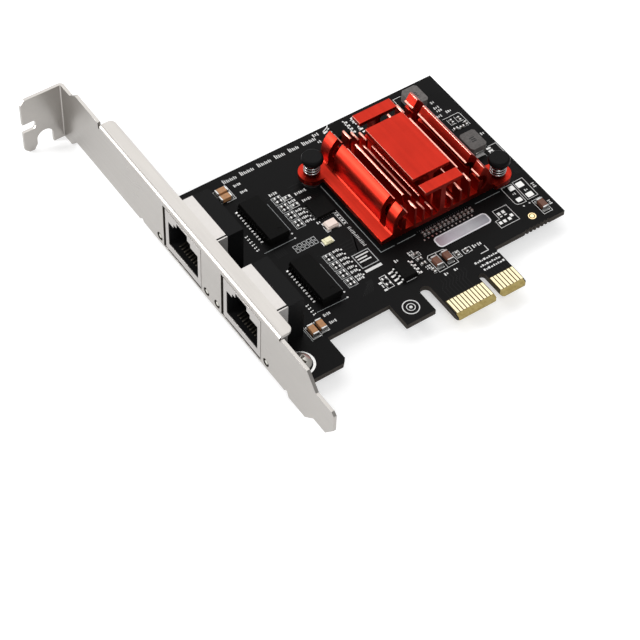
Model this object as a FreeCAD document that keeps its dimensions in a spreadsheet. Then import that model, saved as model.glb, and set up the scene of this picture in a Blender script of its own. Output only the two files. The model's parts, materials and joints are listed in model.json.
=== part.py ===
import FreeCAD, Part
import math, os
from FreeCAD import Vector, Placement, Rotation

# Two-port network interface card with a full-height slot bracket.
# Working frame of the comments: X runs from the outer face of the bracket to
# the rear of the board, Y from the free end of the edge contacts to the top
# of the board, Z is up from the component side of the board (z = 0).
# Every sub-part carries the same Placement, which puts the frame's origin at
# the centre of the bottom of the whole card.

doc = FreeCAD.newDocument("network_card")
sheet = doc.addObject("Spreadsheet::Sheet", "Sheet")

VALUES = [
    # frame shift
    ("frame_x", 38.235), ("frame_y", 46.76), ("frame_z", -4.75),
    # board outline
    ("board_thick", 1.57), ("board_front", 1.3), ("board_rear", 87.9), ("board_top", 68.9),
    ("edge_left", 12.3), ("edge_right", 12.9), ("lobe_rear", 16.4), ("lobe_low", 4.0),
    ("hook_front", 34.2), ("hook_rear", 42.6), ("hook_low", 5.05), ("slot_rear", 45.6),
    ("slot_top", 12.55), ("tongue_rear", 66.1), ("key_front", 57.15), ("key_rear", 59.05),
    ("key_top", 8.1), ("bevel_run", 1.4), ("bevel_drop", 0.45),
    ("bite_first", 76.0), ("bite_pitch", 1.15), ("bite_radius", 0.32),
    # contacts of the card edge
    ("finger_first", 46.6), ("finger_pitch", 1.0), ("finger_gap", 3.0), ("finger_width", 0.7),
    ("finger_low", 1.45), ("finger_high", 5.75), ("finger_thick", 0.04),
    # bracket
    ("sheet_thick", 0.86), ("bend_inner", 0.35), ("tab_top", 106.77), ("tab_depth", 11.43),
    ("tab_low", -4.75), ("tab_high", 13.45), ("face_low", -1.75), ("face_high", 15.75),
    ("flange_low", -2.43), ("flange_high", 15.35), ("flange_depth", 4.0),
    ("flange_south", 8.6), ("flange_north", 87.2), ("lip_south", 6.4), ("lip_north", 67.6),
    ("tail_end", -13.25), ("tail_low", 0.8), ("tail_high", 10.85),
    ("window_width", 16.72), ("window_low", -0.85), ("window_high", 13.54),
    ("fold_corner", 1.5), ("ear_rear", 10.3), ("screw_x", 6.75), ("screw_low_y", 9.4), ("screw_high_y", 63.2),
    ("led_bore", 2.3), ("led_height", 0.62),
    # jacks
    ("jack_pitch", 25.4), ("jack_centre", 49.15), ("jack_width", 15.5), ("jack_height", 13.5),
    ("shell_front", -0.1), ("shell_rear", 7.6), ("shell_wall", 0.3), ("housing_rear", 12.1),
    ("mouth_centre", 49.5), ("mouth_width", 12.1), ("mouth_low", 2.1), ("mouth_high", 10.1), ("mouth_side", 0.85),
    ("mouth_depth", 11.3), ("step_width", 7.4), ("step_high", 11.3), ("latch_width", 4.7), ("latch_high", 12.85),
    ("contact_pitch", 1.02), ("contact_width", 0.42),
    ("peg_x", 10.0), ("peg_offset", 5.7), ("peg_radius", 1.5), ("peg_end", -2.9), ("tab_x", 6.95),
    # magnetics
    ("mag_front", 20.5), ("mag_rear", 26.4), ("mag_length", 14.4), ("mag_height", 2.65),
    ("mag_centre", 49.85), ("mag_lead_centre", 50.82), ("mag_pitch", 22.3), ("lead_pitch", 1.02),
    # controller and cooling
    ("sink_centre_x", 60.45), ("sink_centre_y", 42.55), ("sink_half_x", 18.05), ("sink_length", 30.7),
    ("sink_under", 1.9), ("sink_base_top", 3.4), ("sink_cap_top", 13.1), ("sink_cap_half", 5.6),
    ("saw_floor", 3.9), ("saw_width", 2.2), ("saw_offset", 10.95),
    ("lug_x", 19.15), ("lug_y", 12.75), ("lug_radius", 3.5), ("lug_bore", 3.3),
    ("chip_size", 17.0), ("chip_height", 1.4), ("pad_size", 15.0),
    ("pin_head", 5.6), ("pin_head_low", 7.4), ("pin_head_top", 8.9), ("pin_shaft", 2.6), ("pin_tip", -4.7),
    ("spring_wire", 0.5), ("spring_mean", 3.8), ("spring_turns", 4.0),
    # smaller components
    ("choke_x", 4.8), ("choke_y", 6.1), ("choke_height", 3.0),
    ("soic_x", 3.9), ("soic_y", 4.9), ("soic_height", 1.5), ("soic_span", 6.0), ("soic_pitch", 1.27),
    ("qfn_size", 5.4), ("qfn_height", 0.9),
    ("cap_length", 3.2), ("cap_width", 1.7), ("cap_height", 1.25), ("cap_end", 0.45),
    ("res_length", 1.5), ("res_width", 0.75), ("res_height", 0.45), ("res_end", 0.42),
    ("tiny_length", 1.3), ("tiny_width", 0.65), ("tiny_height", 0.5), ("tiny_end", 0.38),
    ("xtal_x", 3.2), ("xtal_y", 2.5), ("xtal_height", 1.0),
    ("label_x0", 54.95), ("label_x1", 70.95), ("label_y0", 19.8), ("label_y1", 23.4), ("label_thick", 0.1),
]
for row, (alias, value) in enumerate(VALUES, start=1):
    sheet.set("A%d" % row, alias)
    sheet.set("B%d" % row, str(value))
    sheet.setAlias("B%d" % row, alias)
doc.recompute()


def v(alias):
    return float(sheet.get(alias))


FRAME = Placement(Vector(-v("frame_x"), -v("frame_y"), -v("frame_z")), Rotation())
NODES = {}


def expr(obj, prop, text):
    # Sheet aliases inside an expression are written with a leading @.
    obj.setExpression(prop, text.replace("@", "Sheet."))


def keep(label, obj):
    obj.Label = label
    NODES[label] = obj
    return obj


# ---- PartDesign helpers ---------------------------------------------------

def new_body(name):
    body = doc.addObject("PartDesign::Body", name)
    return body


def plane(body, role):
    for feature in body.Origin.OriginFeatures:
        if feature.Role == role:
            return feature
    raise RuntimeError("no plane " + role)


def sketch(body, name, role, loops, offset=0.0):
    """A sketch on an origin plane.  A loop is a list of points, or
    ("circle", x, y, r).  A point given as (x, y, (mx, my)) ends an arc that
    starts at the point before it and passes through (mx, my)."""
    sk = body.newObject("Sketcher::SketchObject", name)
    sk.AttachmentSupport = [(plane(body, role), "")]
    sk.MapMode = "FlatFace"
    sk.AttachmentOffset = Placement(Vector(0, 0, offset), Rotation())
    for loop in loops:
        if loop[0] == "circle":
            sk.addGeometry(Part.Circle(Vector(loop[1], loop[2], 0), Vector(0, 0, 1), loop[3]), False)
            continue
        count = len(loop)
        for i in range(count):
            a, b = loop[i - 1], loop[i]
            pa, pb = Vector(a[0], a[1], 0), Vector(b[0], b[1], 0)
            if len(b) == 3:
                sk.addGeometry(Part.Arc(pa, Vector(b[2][0], b[2][1], 0), pb), False)
            elif (pa - pb).Length > 1e-7:
                sk.addGeometry(Part.LineSegment(pa, pb), False)
    return sk


def rect(x0, y0, x1, y1):
    return [(x0, y0), (x1, y0), (x1, y1), (x0, y1)]


def pad(body, sk, name, length, text=None, reverse=False, midplane=False):
    feature = body.newObject("PartDesign::Pad", name)
    feature.Profile = sk
    feature.Length = length
    feature.Reversed = reverse
    if midplane:
        feature.SideType = "Symmetric" if hasattr(feature, "SideType") else None
    if text:
        expr(feature, "Length", text)
    return feature


def pocket(body, sk, name, length, text=None, reverse=False):
    before = body.Shape.Volume if not body.Shape.isNull() else 0.0
    feature = body.newObject("PartDesign::Pocket", name)
    feature.Profile = sk
    feature.Length = length
    feature.Reversed = reverse
    if text:
        expr(feature, "Length", text)
    doc.recompute()
    if not body.Shape.Volume < before - 1e-6:
        raise RuntimeError("pocket %s removes nothing" % name)
    return feature


# ---- Part helpers ---------------------------------------------------------

def feature(name, shape):
    obj = doc.addObject("Part::Feature", name)
    obj.Shape = shape
    return obj


def box(x0, y0, z0, x1, y1, z1):
    return Part.makeBox(x1 - x0, y1 - y0, z1 - z0, Vector(x0, y0, z0))


def prism_xz(points, y0, y1):
    """Polygon in the XZ plane carried from y0 to y1."""
    wire = Part.makePolygon([Vector(x, y0, z) for x, z in points + [points[0]]])
    return Part.Face(wire).extrude(Vector(0, y1 - y0, 0))


def prism_yz(points, x0, x1):
    wire = Part.makePolygon([Vector(x0, y, z) for y, z in points + [points[0]]])
    return Part.Face(wire).extrude(Vector(x1 - x0, 0, 0))


def group(shapes):
    return Part.makeCompound(shapes)


# ---- circuit board --------------------------------------------------------

def circuit_board():
    body = new_body("circuit_board_body")
    x0, x1, top = v("board_front"), v("board_rear"), v("board_top")
    hr, sr, st = v("hook_rear"), v("slot_rear"), v("slot_top")
    r = (sr - hr) / 2.0
    kr = (v("key_rear") - v("key_front")) / 2.0
    outline = [
        (x0, top), (x0, v("lobe_low")),
        (v("lobe_rear") - 1.2, v("lobe_low")), (v("lobe_rear"), v("lobe_low") + 1.2),
        (v("lobe_rear"), v("edge_left")),
        (v("hook_front"), v("edge_left")), (v("hook_front"), v("hook_low")),
        (hr, v("hook_low")), (hr, st - r),
        (hr + r, st, (hr + r - r * math.sqrt(0.5), st - r + r * math.sqrt(0.5))),
        (sr, st - r, (hr + r + r * math.sqrt(0.5), st - r + r * math.sqrt(0.5))),
        (sr, 0.5), (sr + 0.5, 0.0),
        (v("key_front") - 0.4, 0.0), (v("key_front"), 0.4),
        (v("key_front"), v("key_top") - kr),
        (v("key_rear"), v("key_top") - kr, (v("key_front") + kr, v("key_top"))),
        (v("key_rear"), 0.4), (v("key_rear") + 0.4, 0.0),
        (v("tongue_rear") - 0.5, 0.0), (v("tongue_rear"), 0.5),
        (v("tongue_rear"), v("edge_right")),
    ]
    for i in range(7):
        bx = v("bite_first") + i * v("bite_pitch")
        br = v("bite_radius")
        outline.append((bx - br, v("edge_right")))
        outline.append((bx + br, v("edge_right"), (bx, v("edge_right") + br)))
    outline += [(x1, v("edge_right")), (x1, top)]
    pad(body, sketch(body, "board_outline", "XY_Plane", [outline]), "board_blank",
        v("board_thick"), "@board_thick", reverse=True)
    doc.recompute()
    holes = [("circle", v("screw_x"), v("screw_low_y"), 1.6), ("circle", v("screw_x"), v("screw_high_y"), 1.6)]
    cx, cy = v("sink_centre_x"), v("sink_centre_y")
    holes.append(("circle", cx - v("lug_x"), cy + v("lug_y"), 1.6))
    holes.append(("circle", cx + v("lug_x"), cy - v("lug_y"), 1.6))
    for port in range(2):
        yc = v("mouth_centre") - port * v("jack_pitch")
        for i in range(8):
            yy = yc + (i - 3.5) * v("contact_pitch")
            holes.append(("circle", contact_leg_x(i), yy, 0.42))
        yj = v("jack_centre") - port * v("jack_pitch")
        for side in (-1.0, 1.0):
            holes.append(("circle", v("peg_x"), yc + side * v("peg_offset"), v("peg_radius") + 0.1))
            holes.append(("circle", v("tab_x"), yj + side * (v("jack_width") / 2 - v("shell_wall") / 2), 0.7))
    pocket(body, sketch(body, "board_holes", "XY_Plane", [h for h in holes], 0.5), "board_drilling", 4.0)
    t, run, drop = v("board_thick"), v("bevel_run"), v("bevel_drop")
    # The free edge of the contact tongue is bevelled on both sides.
    upper = [(-1.0, 1.0), (-1.0, -drop - drop / run), (0.0, -drop), (run, 0.0), (run, 1.0)]
    lower = [(-1.0, -t - 1.0), (run, -t - 1.0), (run, -t), (0.0, -t + drop), (-1.0, -t + drop + drop / run)]
    pocket(body, sketch(body, "bevel_upper", "YZ_Plane", [upper], v("slot_rear") - 1.0), "bevel_upper_cut",
           v("tongue_rear") - v("slot_rear") + 2.0, reverse=True)
    pocket(body, sketch(body, "bevel_lower", "YZ_Plane", [lower], v("slot_rear") - 1.0), "bevel_lower_cut",
           v("tongue_rear") - v("slot_rear") + 2.0, reverse=True)
    body.Placement = FRAME
    keep("circuit_board", body)


def contact_leg_x(i):
    # The legs of a jack's eight contacts stand in two staggered rows.
    return 10.75 if i % 2 == 0 else 9.15


circuit_board()


def edge_contacts():
    solids = []
    w, th = v("finger_width"), v("finger_thick")
    for i in range(18):
        x = v("finger_first") + i * v("finger_pitch") + (v("finger_gap") - v("finger_pitch") if i > 10 else 0.0)
        high = v("finger_high")
        solids.append(box(x - w / 2, v("finger_low"), 0.0, x + w / 2, high, th))
        solids.append(box(x - w / 2, v("finger_low"), -v("board_thick") - th, x + w / 2, high, -v("board_thick")))
    obj = feature("edge_contacts_solids", group(solids))
    obj.Placement = FRAME
    keep("edge_contacts", obj)


edge_contacts()


# ---- slot bracket, one folded sheet ---------------------------------------

def bracket():
    body = new_body("bracket_body")
    t, ri = v("sheet_thick"), v("bend_inner")
    ro = ri + t
    s = math.sqrt(0.5)
    zl, zh = v("flange_low"), v("flange_high")
    dep = v("flange_depth")
    # Channel section: face with a flange folded back along each long edge.
    section = [
        (dep, zl), (dep, zl + t), (t + ri, zl + t),
        (t, zl + t + ri, (t + ri - ri * s, zl + t + ri - ri * s)),
        (t, 8.0), (0.0, 8.0), (0.0, zl + ro),
        (ro, zl, (ro - ro * s, zl + ro - ro * s)),
    ]
    low = sketch(body, "lower_fold", "XZ_Plane", [section], -v("lip_south"))
    pad(body, low, "lower_fold_pad", v("lip_north") - v("lip_south"), "@lip_north - @lip_south", reverse=True)
    doc.recompute()
    section = [
        (0.0, 6.0), (t, 6.0), (t, zh - t - ri),
        (t + ri, zh - t, (t + ri - ri * s, zh - t - ri + ri * s)),
        (dep, zh - t), (dep, zh),
        (ro, zh),
        (0.0, zh - ro, (ro - ro * s, zh - ro + ro * s)),
    ]
    high = sketch(body, "upper_fold", "XZ_Plane", [section], -v("flange_south"))
    pad(body, high, "upper_fold_pad", v("flange_north") - v("flange_south"), "@flange_north - @flange_south", reverse=True)
    doc.recompute()
    # Face plate with the shoulders, the relief notches and the tapered tail.
    fl, fh = v("face_low"), v("face_high")
    top = v("tab_top") - ro
    face = [
        (top, v("tab_low")), (top, v("tab_high")), (101.4, v("tab_high")), (98.6, fh), (88.4, fh),
        (v("flange_north") + 0.6, fh), (v("flange_north") + 0.4, zh - ro - 0.35), (v("flange_north"), zh - ro),
        (v("flange_south"), zh - ro), (v("flange_south") - 0.4, zh - ro - 0.3), (v("flange_south") - 0.8, 15.2),
        (-2.5, 15.2), (-6.2, v("tail_high")), (-12.3, v("tail_high")), (v("tail_end"), 10.0),
        (v("tail_end"), 4.7), (-10.3, v("tail_low")), (-5.6, v("tail_low")), (-2.3, -2.35),
        (v("lip_south") - 2.1, -2.35), (v("lip_south") - 1.4, -0.65), (v("lip_south"), zl + ro),
        (v("lip_north"), zl + ro), (v("lip_north") + 0.5, -0.65), (v("lip_north") + 1.7, fl),
        (99.6, fl), (102.4, v("tab_low")),
    ]
    sk = sketch(body, "face_outline", "YZ_Plane", [face])
    pad(body, sk, "face_pad", t, "@sheet_thick")
    doc.recompute()
    # Fastening tab, bent outwards across the upper end of the face.
    yt = v("tab_top")
    bend = [
        (t, yt - ro - 0.5), (t, yt - ro),
        (t - ro, yt, (t - ro + ro * s, yt - ro + ro * s)),
        (-v("tab_depth"), yt), (-v("tab_depth"), yt - t), (-ri, yt - t),
        (0.0, yt - ro, (-ri + ri * s, yt - ro + ri * s)),
        (0.0, yt - ro - 0.5),
    ]
    sk = sketch(body, "tab_section", "XY_Plane", [bend], v("tab_low"))
    pad(body, sk, "tab_pad", v("tab_high") - v("tab_low"), "@tab_high - @tab_low")
    doc.recompute()
    # The free corners of the folded edges are rounded.
    cr = v("fold_corner")

    def corner_waste(y_end, inward):
        return [(dep + 1.0, y_end - inward), (dep + 1.0, y_end + inward * cr), (dep, y_end + inward * cr),
                (dep - cr, y_end, (dep - cr + cr * s, y_end + inward * (cr - cr * s))), (dep - cr, y_end - inward)]

    sk = sketch(body, "upper_fold_corners", "XY_Plane",
                [corner_waste(v("flange_south"), 1.0), corner_waste(v("flange_north"), -1.0)], zh + 0.5)
    pocket(body, sk, "upper_fold_corners_cut", t + 1.0)
    sk = sketch(body, "lower_fold_corner", "XY_Plane", [corner_waste(v("lip_north"), -1.0)], zl + t + 0.4)
    pocket(body, sk, "lower_fold_corner_cut", t + 0.8)
    # Ears under the board, threaded for the two board screws.
    er = v("ear_rear")
    for tag, yc in (("low", v("screw_low_y")), ("high", v("screw_high_y"))):
        ear = [(t + ri, yc - 3.2), (er - 2.0, yc - 3.2), (er, yc - 1.2), (er, yc + 1.2), (er - 2.0, yc + 3.2), (t + ri, yc + 3.2)]
        sk = sketch(body, "ear_" + tag, "XY_Plane", [ear], zl)
        pad(body, sk, "ear_pad_" + tag, t, "@sheet_thick")
        doc.recompute()
    # Screw notch and end slot of the tab.
    td = v("tab_depth")
    xc, rr, zc = -5.45, 2.3, -1.65
    notch = [
        (xc - rr, v("tab_low") - 1.0), (xc + rr, v("tab_low") - 1.0), (xc + rr, zc),
        (xc, zc + rr, (xc + rr * s, zc + rr * s)), (xc - rr, zc, (xc - rr * s, zc + rr * s)),
    ]
    slot = [(-td - 1.0, 2.5), (-8.35, 2.5), (-7.75, 3.1), (-7.75, 4.8), (-8.35, 5.4), (-td - 1.0, 5.4)]
    corner = [(-td - 1.0, 12.25), (-td, 12.25), (-td + 1.2, v("tab_high")), (-td + 1.2, v("tab_high") + 1.0), (-td - 1.0, v("tab_high") + 1.0)]
    tip = [(-td - 1.0, v("tab_low") - 1.0), (-td + 1.3, v("tab_low") - 1.0), (-td + 1.3, v("tab_low")), (-td, v("tab_low") + 1.3), (-td - 1.0, v("tab_low") + 1.3)]
    inner = [(-7.75 - 1.0, v("tab_low") - 1.0), (-7.0, v("tab_low") - 1.0), (-7.0, v("tab_low") + 1.6), (-7.75, v("tab_low") + 1.6), (-7.75 - 1.0, v("tab_low"))]
    for tag, loop in (("notch", notch), ("slot", slot), ("corner", corner), ("tip", tip), ("inner", inner)):
        sk = sketch(body, "tab_" + tag, "XZ_Plane", [loop], -(yt + 1.0))
        pocket(body, sk, "tab_%s_cut" % tag, t + 1.6, reverse=True)
    # Port windows and the bores for the link lamps.
    loops = []
    for port in range(2):
        y1 = v("jack_centre") - port * v("jack_pitch") + 8.95
        y0 = y1 - v("window_width")
        loops.append(rect(y0, v("window_low"), y1, v("window_high")))
    sk = sketch(body, "windows", "YZ_Plane", loops, t + 0.1)
    pocket(body, sk, "windows_cut", t + 0.2)
    loops = [("circle", y, v("led_height"), v("led_bore") / 2) for y in lamp_places()]
    sk = sketch(body, "lamp_bores", "YZ_Plane", loops, t + 0.1)
    pocket(body, sk, "lamp_bores_cut", t + 0.2)
    sk = sketch(body, "ear_bores", "XY_Plane",
                [("circle", v("screw_x"), v("screw_low_y"), 1.5), ("circle", v("screw_x"), v("screw_high_y"), 1.5)], -1.0)
    pocket(body, sk, "ear_bores_cut", 3.0)
    body.Placement = FRAME
    keep("bracket", body)


def lamp_places():
    places = []
    for port in range(2):
        yc = v("mouth_centre") - port * v("jack_pitch")
        places += [yc + 10.45, yc - 10.4]
    return places


bracket()


# ---- screws ---------------------------------------------------------------

def bracket_screws():
    solids = []
    for yc in (v("screw_low_y"), v("screw_high_y")):
        x = v("screw_x")
        head = Part.makeCylinder(2.7, 1.1, Vector(x, yc, 0.0))
        dome = Part.makeSphere(4.6, Vector(x, yc, 1.75 - 4.6)).common(Part.makeCylinder(2.7, 1.75, Vector(x, yc, 0.0)))
        head = head.common(Part.makeSphere(4.6, Vector(x, yc, 1.75 - 4.6))).fuse(dome)
        shank = Part.makeCylinder(1.47, 4.25, Vector(x, yc, -4.15))
        point = Part.makeCone(1.1, 1.47, 0.35, Vector(x, yc, -4.5))
        screw = head.fuse(shank).fuse(point)
        for turn in (0.0, 90.0):
            blade = box(x - 1.5, yc - 0.3, 0.75, x + 1.5, yc + 0.3, 3.0)
            blade.rotate(Vector(x, yc, 0), Vector(0, 0, 1), turn + 25.0)
            screw = screw.cut(blade)
        solids.append(screw.removeSplitter())
    obj = feature("bracket_screws_solids", group(solids))
    obj.Placement = FRAME
    keep("bracket_screws", obj)


bracket_screws()


# ---- jacks ----------------------------------------------------------------

def mouth_loop(yc, grow=0.0):
    w, sw, lw = v("mouth_width") / 2 + grow, v("step_width") / 2 + grow, v("latch_width") / 2 + grow
    lo, hi, st, la = v("mouth_low") - grow, v("mouth_high") + grow, v("step_high") + grow, v("latch_high") + grow
    far = w + v("mouth_side")
    return [(yc - far, lo), (yc + w, lo), (yc + w, hi), (yc + sw, hi), (yc + sw, st), (yc + lw, st), (yc + lw, la),
            (yc - lw, la), (yc - lw, st), (yc - sw, st), (yc - sw, hi), (yc - far, hi)]


def jack(port, tag):
    yj = v("jack_centre") - port * v("jack_pitch")
    ym = v("mouth_centre") - port * v("jack_pitch")
    half, wall = v("jack_width") / 2, v("shell_wall")
    hgt = v("jack_height")
    # Sheet-metal shell around the front of the jack.
    shell = new_body("jack_shell_body_" + tag)
    sk = sketch(shell, "shell_front_%s" % tag, "YZ_Plane", [rect(yj - half, 0.0, yj + half, hgt)], v("shell_front"))
    pad(shell, sk, "shell_block_%s" % tag, v("shell_rear") - v("shell_front"), "@shell_rear - @shell_front")
    doc.recompute()
    sk = sketch(shell, "shell_hollow_%s" % tag, "YZ_Plane",
                [rect(yj - half + wall, wall, yj + half - wall, hgt - wall)], v("shell_rear") + 0.5)
    pocket(shell, sk, "shell_hollow_cut_%s" % tag, v("shell_rear") - v("shell_front") + 0.5 - wall)
    sk = sketch(shell, "shell_mouth_%s" % tag, "YZ_Plane", [mouth_loop(ym)], v("shell_front") + wall + 0.1)
    pocket(shell, sk, "shell_mouth_cut_%s" % tag, wall + 0.2)
    # Seam where the wrapped sheet ends beside the lower side wall.
    sk = sketch(shell, "shell_seam_%s" % tag, "XY_Plane",
                [rect(1.2, yj - half + 0.35, v("shell_rear") + 0.5, yj - half + 0.8)], hgt + 0.1)
    pocket(shell, sk, "shell_seam_cut_%s" % tag, wall + 0.15)
    # Grounding tabs that run down from both side walls through the board.
    tabs = [rect(v("tab_x") - 0.45, yj + side * half - (wall if side > 0 else 0.0),
                 v("tab_x") + 0.45, yj + side * half + (wall if side < 0 else 0.0)) for side in (-1.0, 1.0)]
    sk = sketch(shell, "shell_tabs_%s" % tag, "XY_Plane", tabs, 1.0)
    pad(shell, sk, "shell_tabs_pad_%s" % tag, 3.6, reverse=True)
    doc.recompute()
    shell.Placement = FRAME
    keep("jack_shell_" + tag, shell)
    # Moulded housing: inside the shell at the front, in the open behind it.
    house = new_body("jack_housing_body_" + tag)
    g = wall + 0.03
    x0 = v("shell_front") + g
    sk = sketch(house, "housing_front_%s" % tag, "YZ_Plane",
                [rect(yj - half + g, g, yj + half - g, hgt - g)], x0)
    pad(house, sk, "housing_insert_%s" % tag, v("housing_rear") - x0)
    doc.recompute()
    sk = sketch(house, "housing_back_%s" % tag, "YZ_Plane",
                [rect(yj - half + 0.1, 0.0, yj + half - 0.1, hgt - 0.1)], v("shell_rear") + 0.05)
    pad(house, sk, "housing_block_%s" % tag, v("housing_rear") - v("shell_rear") - 0.05)
    doc.recompute()
    sk = sketch(house, "housing_mouth_%s" % tag, "YZ_Plane", [mouth_loop(ym, 0.05)], v("mouth_depth") - 2.9)
    pocket(house, sk, "housing_mouth_cut_%s" % tag, v("mouth_depth"))
    # Chamber for the contact legs, with a floor that holds each leg.
    sk = sketch(house, "housing_chamber_%s" % tag, "YZ_Plane",
                [rect(ym - 4.25, 1.4, ym + 4.25, 5.4)], 11.4)
    pocket(house, sk, "housing_chamber_cut_%s" % tag, 3.1)
    legs = []
    for i in range(8):
        yy, xx = ym + (i - 3.5) * v("contact_pitch"), contact_leg_x(i)
        hw = v("contact_width") / 2
        legs.append(rect(xx - 0.22, yy - hw, xx + 0.22, yy + hw))
    sk = sketch(house, "housing_legs_%s" % tag, "XY_Plane", legs, 2.0)
    pocket(house, sk, "housing_legs_cut_%s" % tag, 2.5)
    # Two locating pegs that stand in holes of the board.
    pegs = [("circle", v("peg_x"), ym + side * v("peg_offset"), v("peg_radius")) for side in (-1.0, 1.0)]
    sk = sketch(house, "housing_pegs_%s" % tag, "XY_Plane", pegs, 0.6)
    pad(house, sk, "housing_pegs_pad_%s" % tag, 0.6 - v("peg_end"), "0.6 - @peg_end", reverse=True)
    doc.recompute()
    house.Placement = FRAME
    keep("jack_housing_" + tag, house)
    # Eight spring contacts: a leg through the board, then a blade that leans
    # forward and down to the front of the mouth.
    solids = []
    w = v("contact_width")
    for i in range(8):
        y = ym + (i - 3.5) * v("contact_pitch")
        xl = contact_leg_x(i)
        th = 0.22
        path = [(xl - th, -2.6), (xl + th, -2.6), (xl + th, 4.55), (xl - 0.55, 4.75),
                (2.0, 2.68), (1.45, 2.6), (1.3, 2.38), (1.5, 2.2), (2.1, 2.26), (xl - th, 4.25)]
        solids.append(prism_xz(path, y - w / 2, y + w / 2))
    obj = feature("jack_contacts_solids_" + tag, group(solids))
    obj.Placement = FRAME
    keep("jack_contacts_" + tag, obj)


jack(0, "a")
jack(1, "b")


def link_lamps():
    solids = []
    for y in lamp_places():
        base = box(1.45, y - 0.8, 0.0, 2.45, y + 0.8, 0.45)
        lens = Part.makeCylinder(0.6, 2.3, Vector(0.1, y, v("led_height")), Vector(1, 0, 0))
        solids.append(base.fuse(lens).fuse(box(1.45, y - 0.5, 0.3, 2.4, y + 0.5, 0.6)).removeSplitter())
    obj = feature("link_lamps_solids", group(solids))
    obj.Placement = FRAME
    keep("link_lamps", obj)


link_lamps()


# ---- magnetics ------------------------------------------------------------

def gull_lead(x_foot, x_body, y, width, z_exit, thick=0.15, foot=0.75):
    d = 1.0 if x_body > x_foot else -1.0
    pts = [(x_foot, 0.0), (x_foot + d * foot, 0.0), (x_foot + d * (foot + thick), z_exit - thick),
           (x_body, z_exit - thick), (x_body, z_exit), (x_foot + d * foot - d * 0.05, z_exit),
           (x_foot + d * (foot - thick), thick), (x_foot, thick)]
    if d < 0:
        pts = pts[::-1]
    return prism_xz(pts, y - width / 2, y + width / 2)


def sloped_lead(x_foot, x_body, y, width, z_exit, thick=0.15, foot=0.55):
    """Lead whose leg slopes straight from the parting line down to its foot."""
    d = 1.0 if x_body > x_foot else -1.0
    pts = [(x_foot, 0.0), (x_foot + d * (foot + 0.08), 0.0), (x_body, z_exit - 1.15 * thick), (x_body, z_exit),
           (x_body - d * 0.12, z_exit), (x_foot + d * (foot - 0.07), thick), (x_foot, thick)]
    if d < 0:
        pts = pts[::-1]
    return prism_xz(pts, y - width / 2, y + width / 2)


def drafted_package(name, x0, x1, y0, y1, z0, z1, draft=0.25):
    """Moulded package that narrows from its parting line to its top and bottom."""
    zm = (z0 + z1) / 2
    half = [(x0 + draft, z0), (x1 - draft, z0), (x1, zm), (x1 - draft, z1), (x0 + draft, z1), (x0, zm)]
    core = prism_xz(half, y0, y1)
    side = [(y0 + draft, z0), (y1 - draft, z0), (y1, zm), (y1 - draft, z1), (y0 + draft, z1), (y0, zm)]
    return core.common(prism_yz(side, x0 - 1, x1 + 1))


def magnetics(port, tag):
    yc = v("mag_centre") - port * v("mag_pitch")
    half = v("mag_length") / 2
    body = drafted_package("magnetics", v("mag_front"), v("mag_rear"), yc - half, yc + half, 0.12, v("mag_height"))
    dimple = Part.makeCylinder(0.55, 0.4, Vector(v("mag_rear") - 1.75, yc - half + 1.9, v("mag_height") - 0.1))
    obj = feature("magnetics_solid_" + tag, body.cut(dimple))
    obj.Placement = FRAME
    keep("magnetics_" + tag, obj)
    zm = (0.12 + v("mag_height")) / 2
    solids = []
    for i in range(12):
        y = v("mag_lead_centre") - port * v("mag_pitch") + (i - 5.5) * v("lead_pitch")
        solids.append(sloped_lead(v("mag_front") - 0.9, v("mag_front"), y, 0.42, zm + 0.07))
        solids.append(sloped_lead(v("mag_rear") + 0.9, v("mag_rear"), y, 0.42, zm + 0.07))
    obj = feature("magnetics_leads_solids_" + tag, group(solids))
    obj.Placement = FRAME
    keep("magnetics_leads_" + tag, obj)


magnetics(0, "a")
magnetics(1, "b")


# ---- controller, thermal pad, heatsink ------------------------------------

def controller():
    cx, cy, h = v("sink_centre_x"), v("sink_centre_y"), v("chip_size") / 2
    base = doc.addObject("Part::Box", "chip_base")
    expr(base, "Length", "@chip_size")
    expr(base, "Width", "@chip_size")
    base.Height = 0.5
    base.Placement = Placement(Vector(cx - h, cy - h, 0.0), Rotation())
    cap = doc.addObject("Part::Box", "chip_cap")
    expr(cap, "Length", "@chip_size - 1.6")
    expr(cap, "Width", "@chip_size - 1.6")
    expr(cap, "Height", "@chip_height")
    cap.Placement = Placement(Vector(cx - h + 0.8, cy - h + 0.8, 0.0), Rotation())
    chip = doc.addObject("Part::Fuse", "chip")
    chip.Base, chip.Tool = base, cap
    chip.Refine = True
    chip.Placement = FRAME
    keep("controller_chip", chip)
    pad_box = doc.addObject("Part::Box", "thermal_pad_box")
    expr(pad_box, "Length", "@pad_size")
    expr(pad_box, "Width", "@pad_size")
    expr(pad_box, "Height", "@sink_under - @chip_height")
    p = v("pad_size") / 2
    pad_box.Placement = FRAME.multiply(Placement(Vector(cx - p, cy - p, v("chip_height")), Rotation()))
    keep("thermal_pad", pad_box)


controller()


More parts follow.
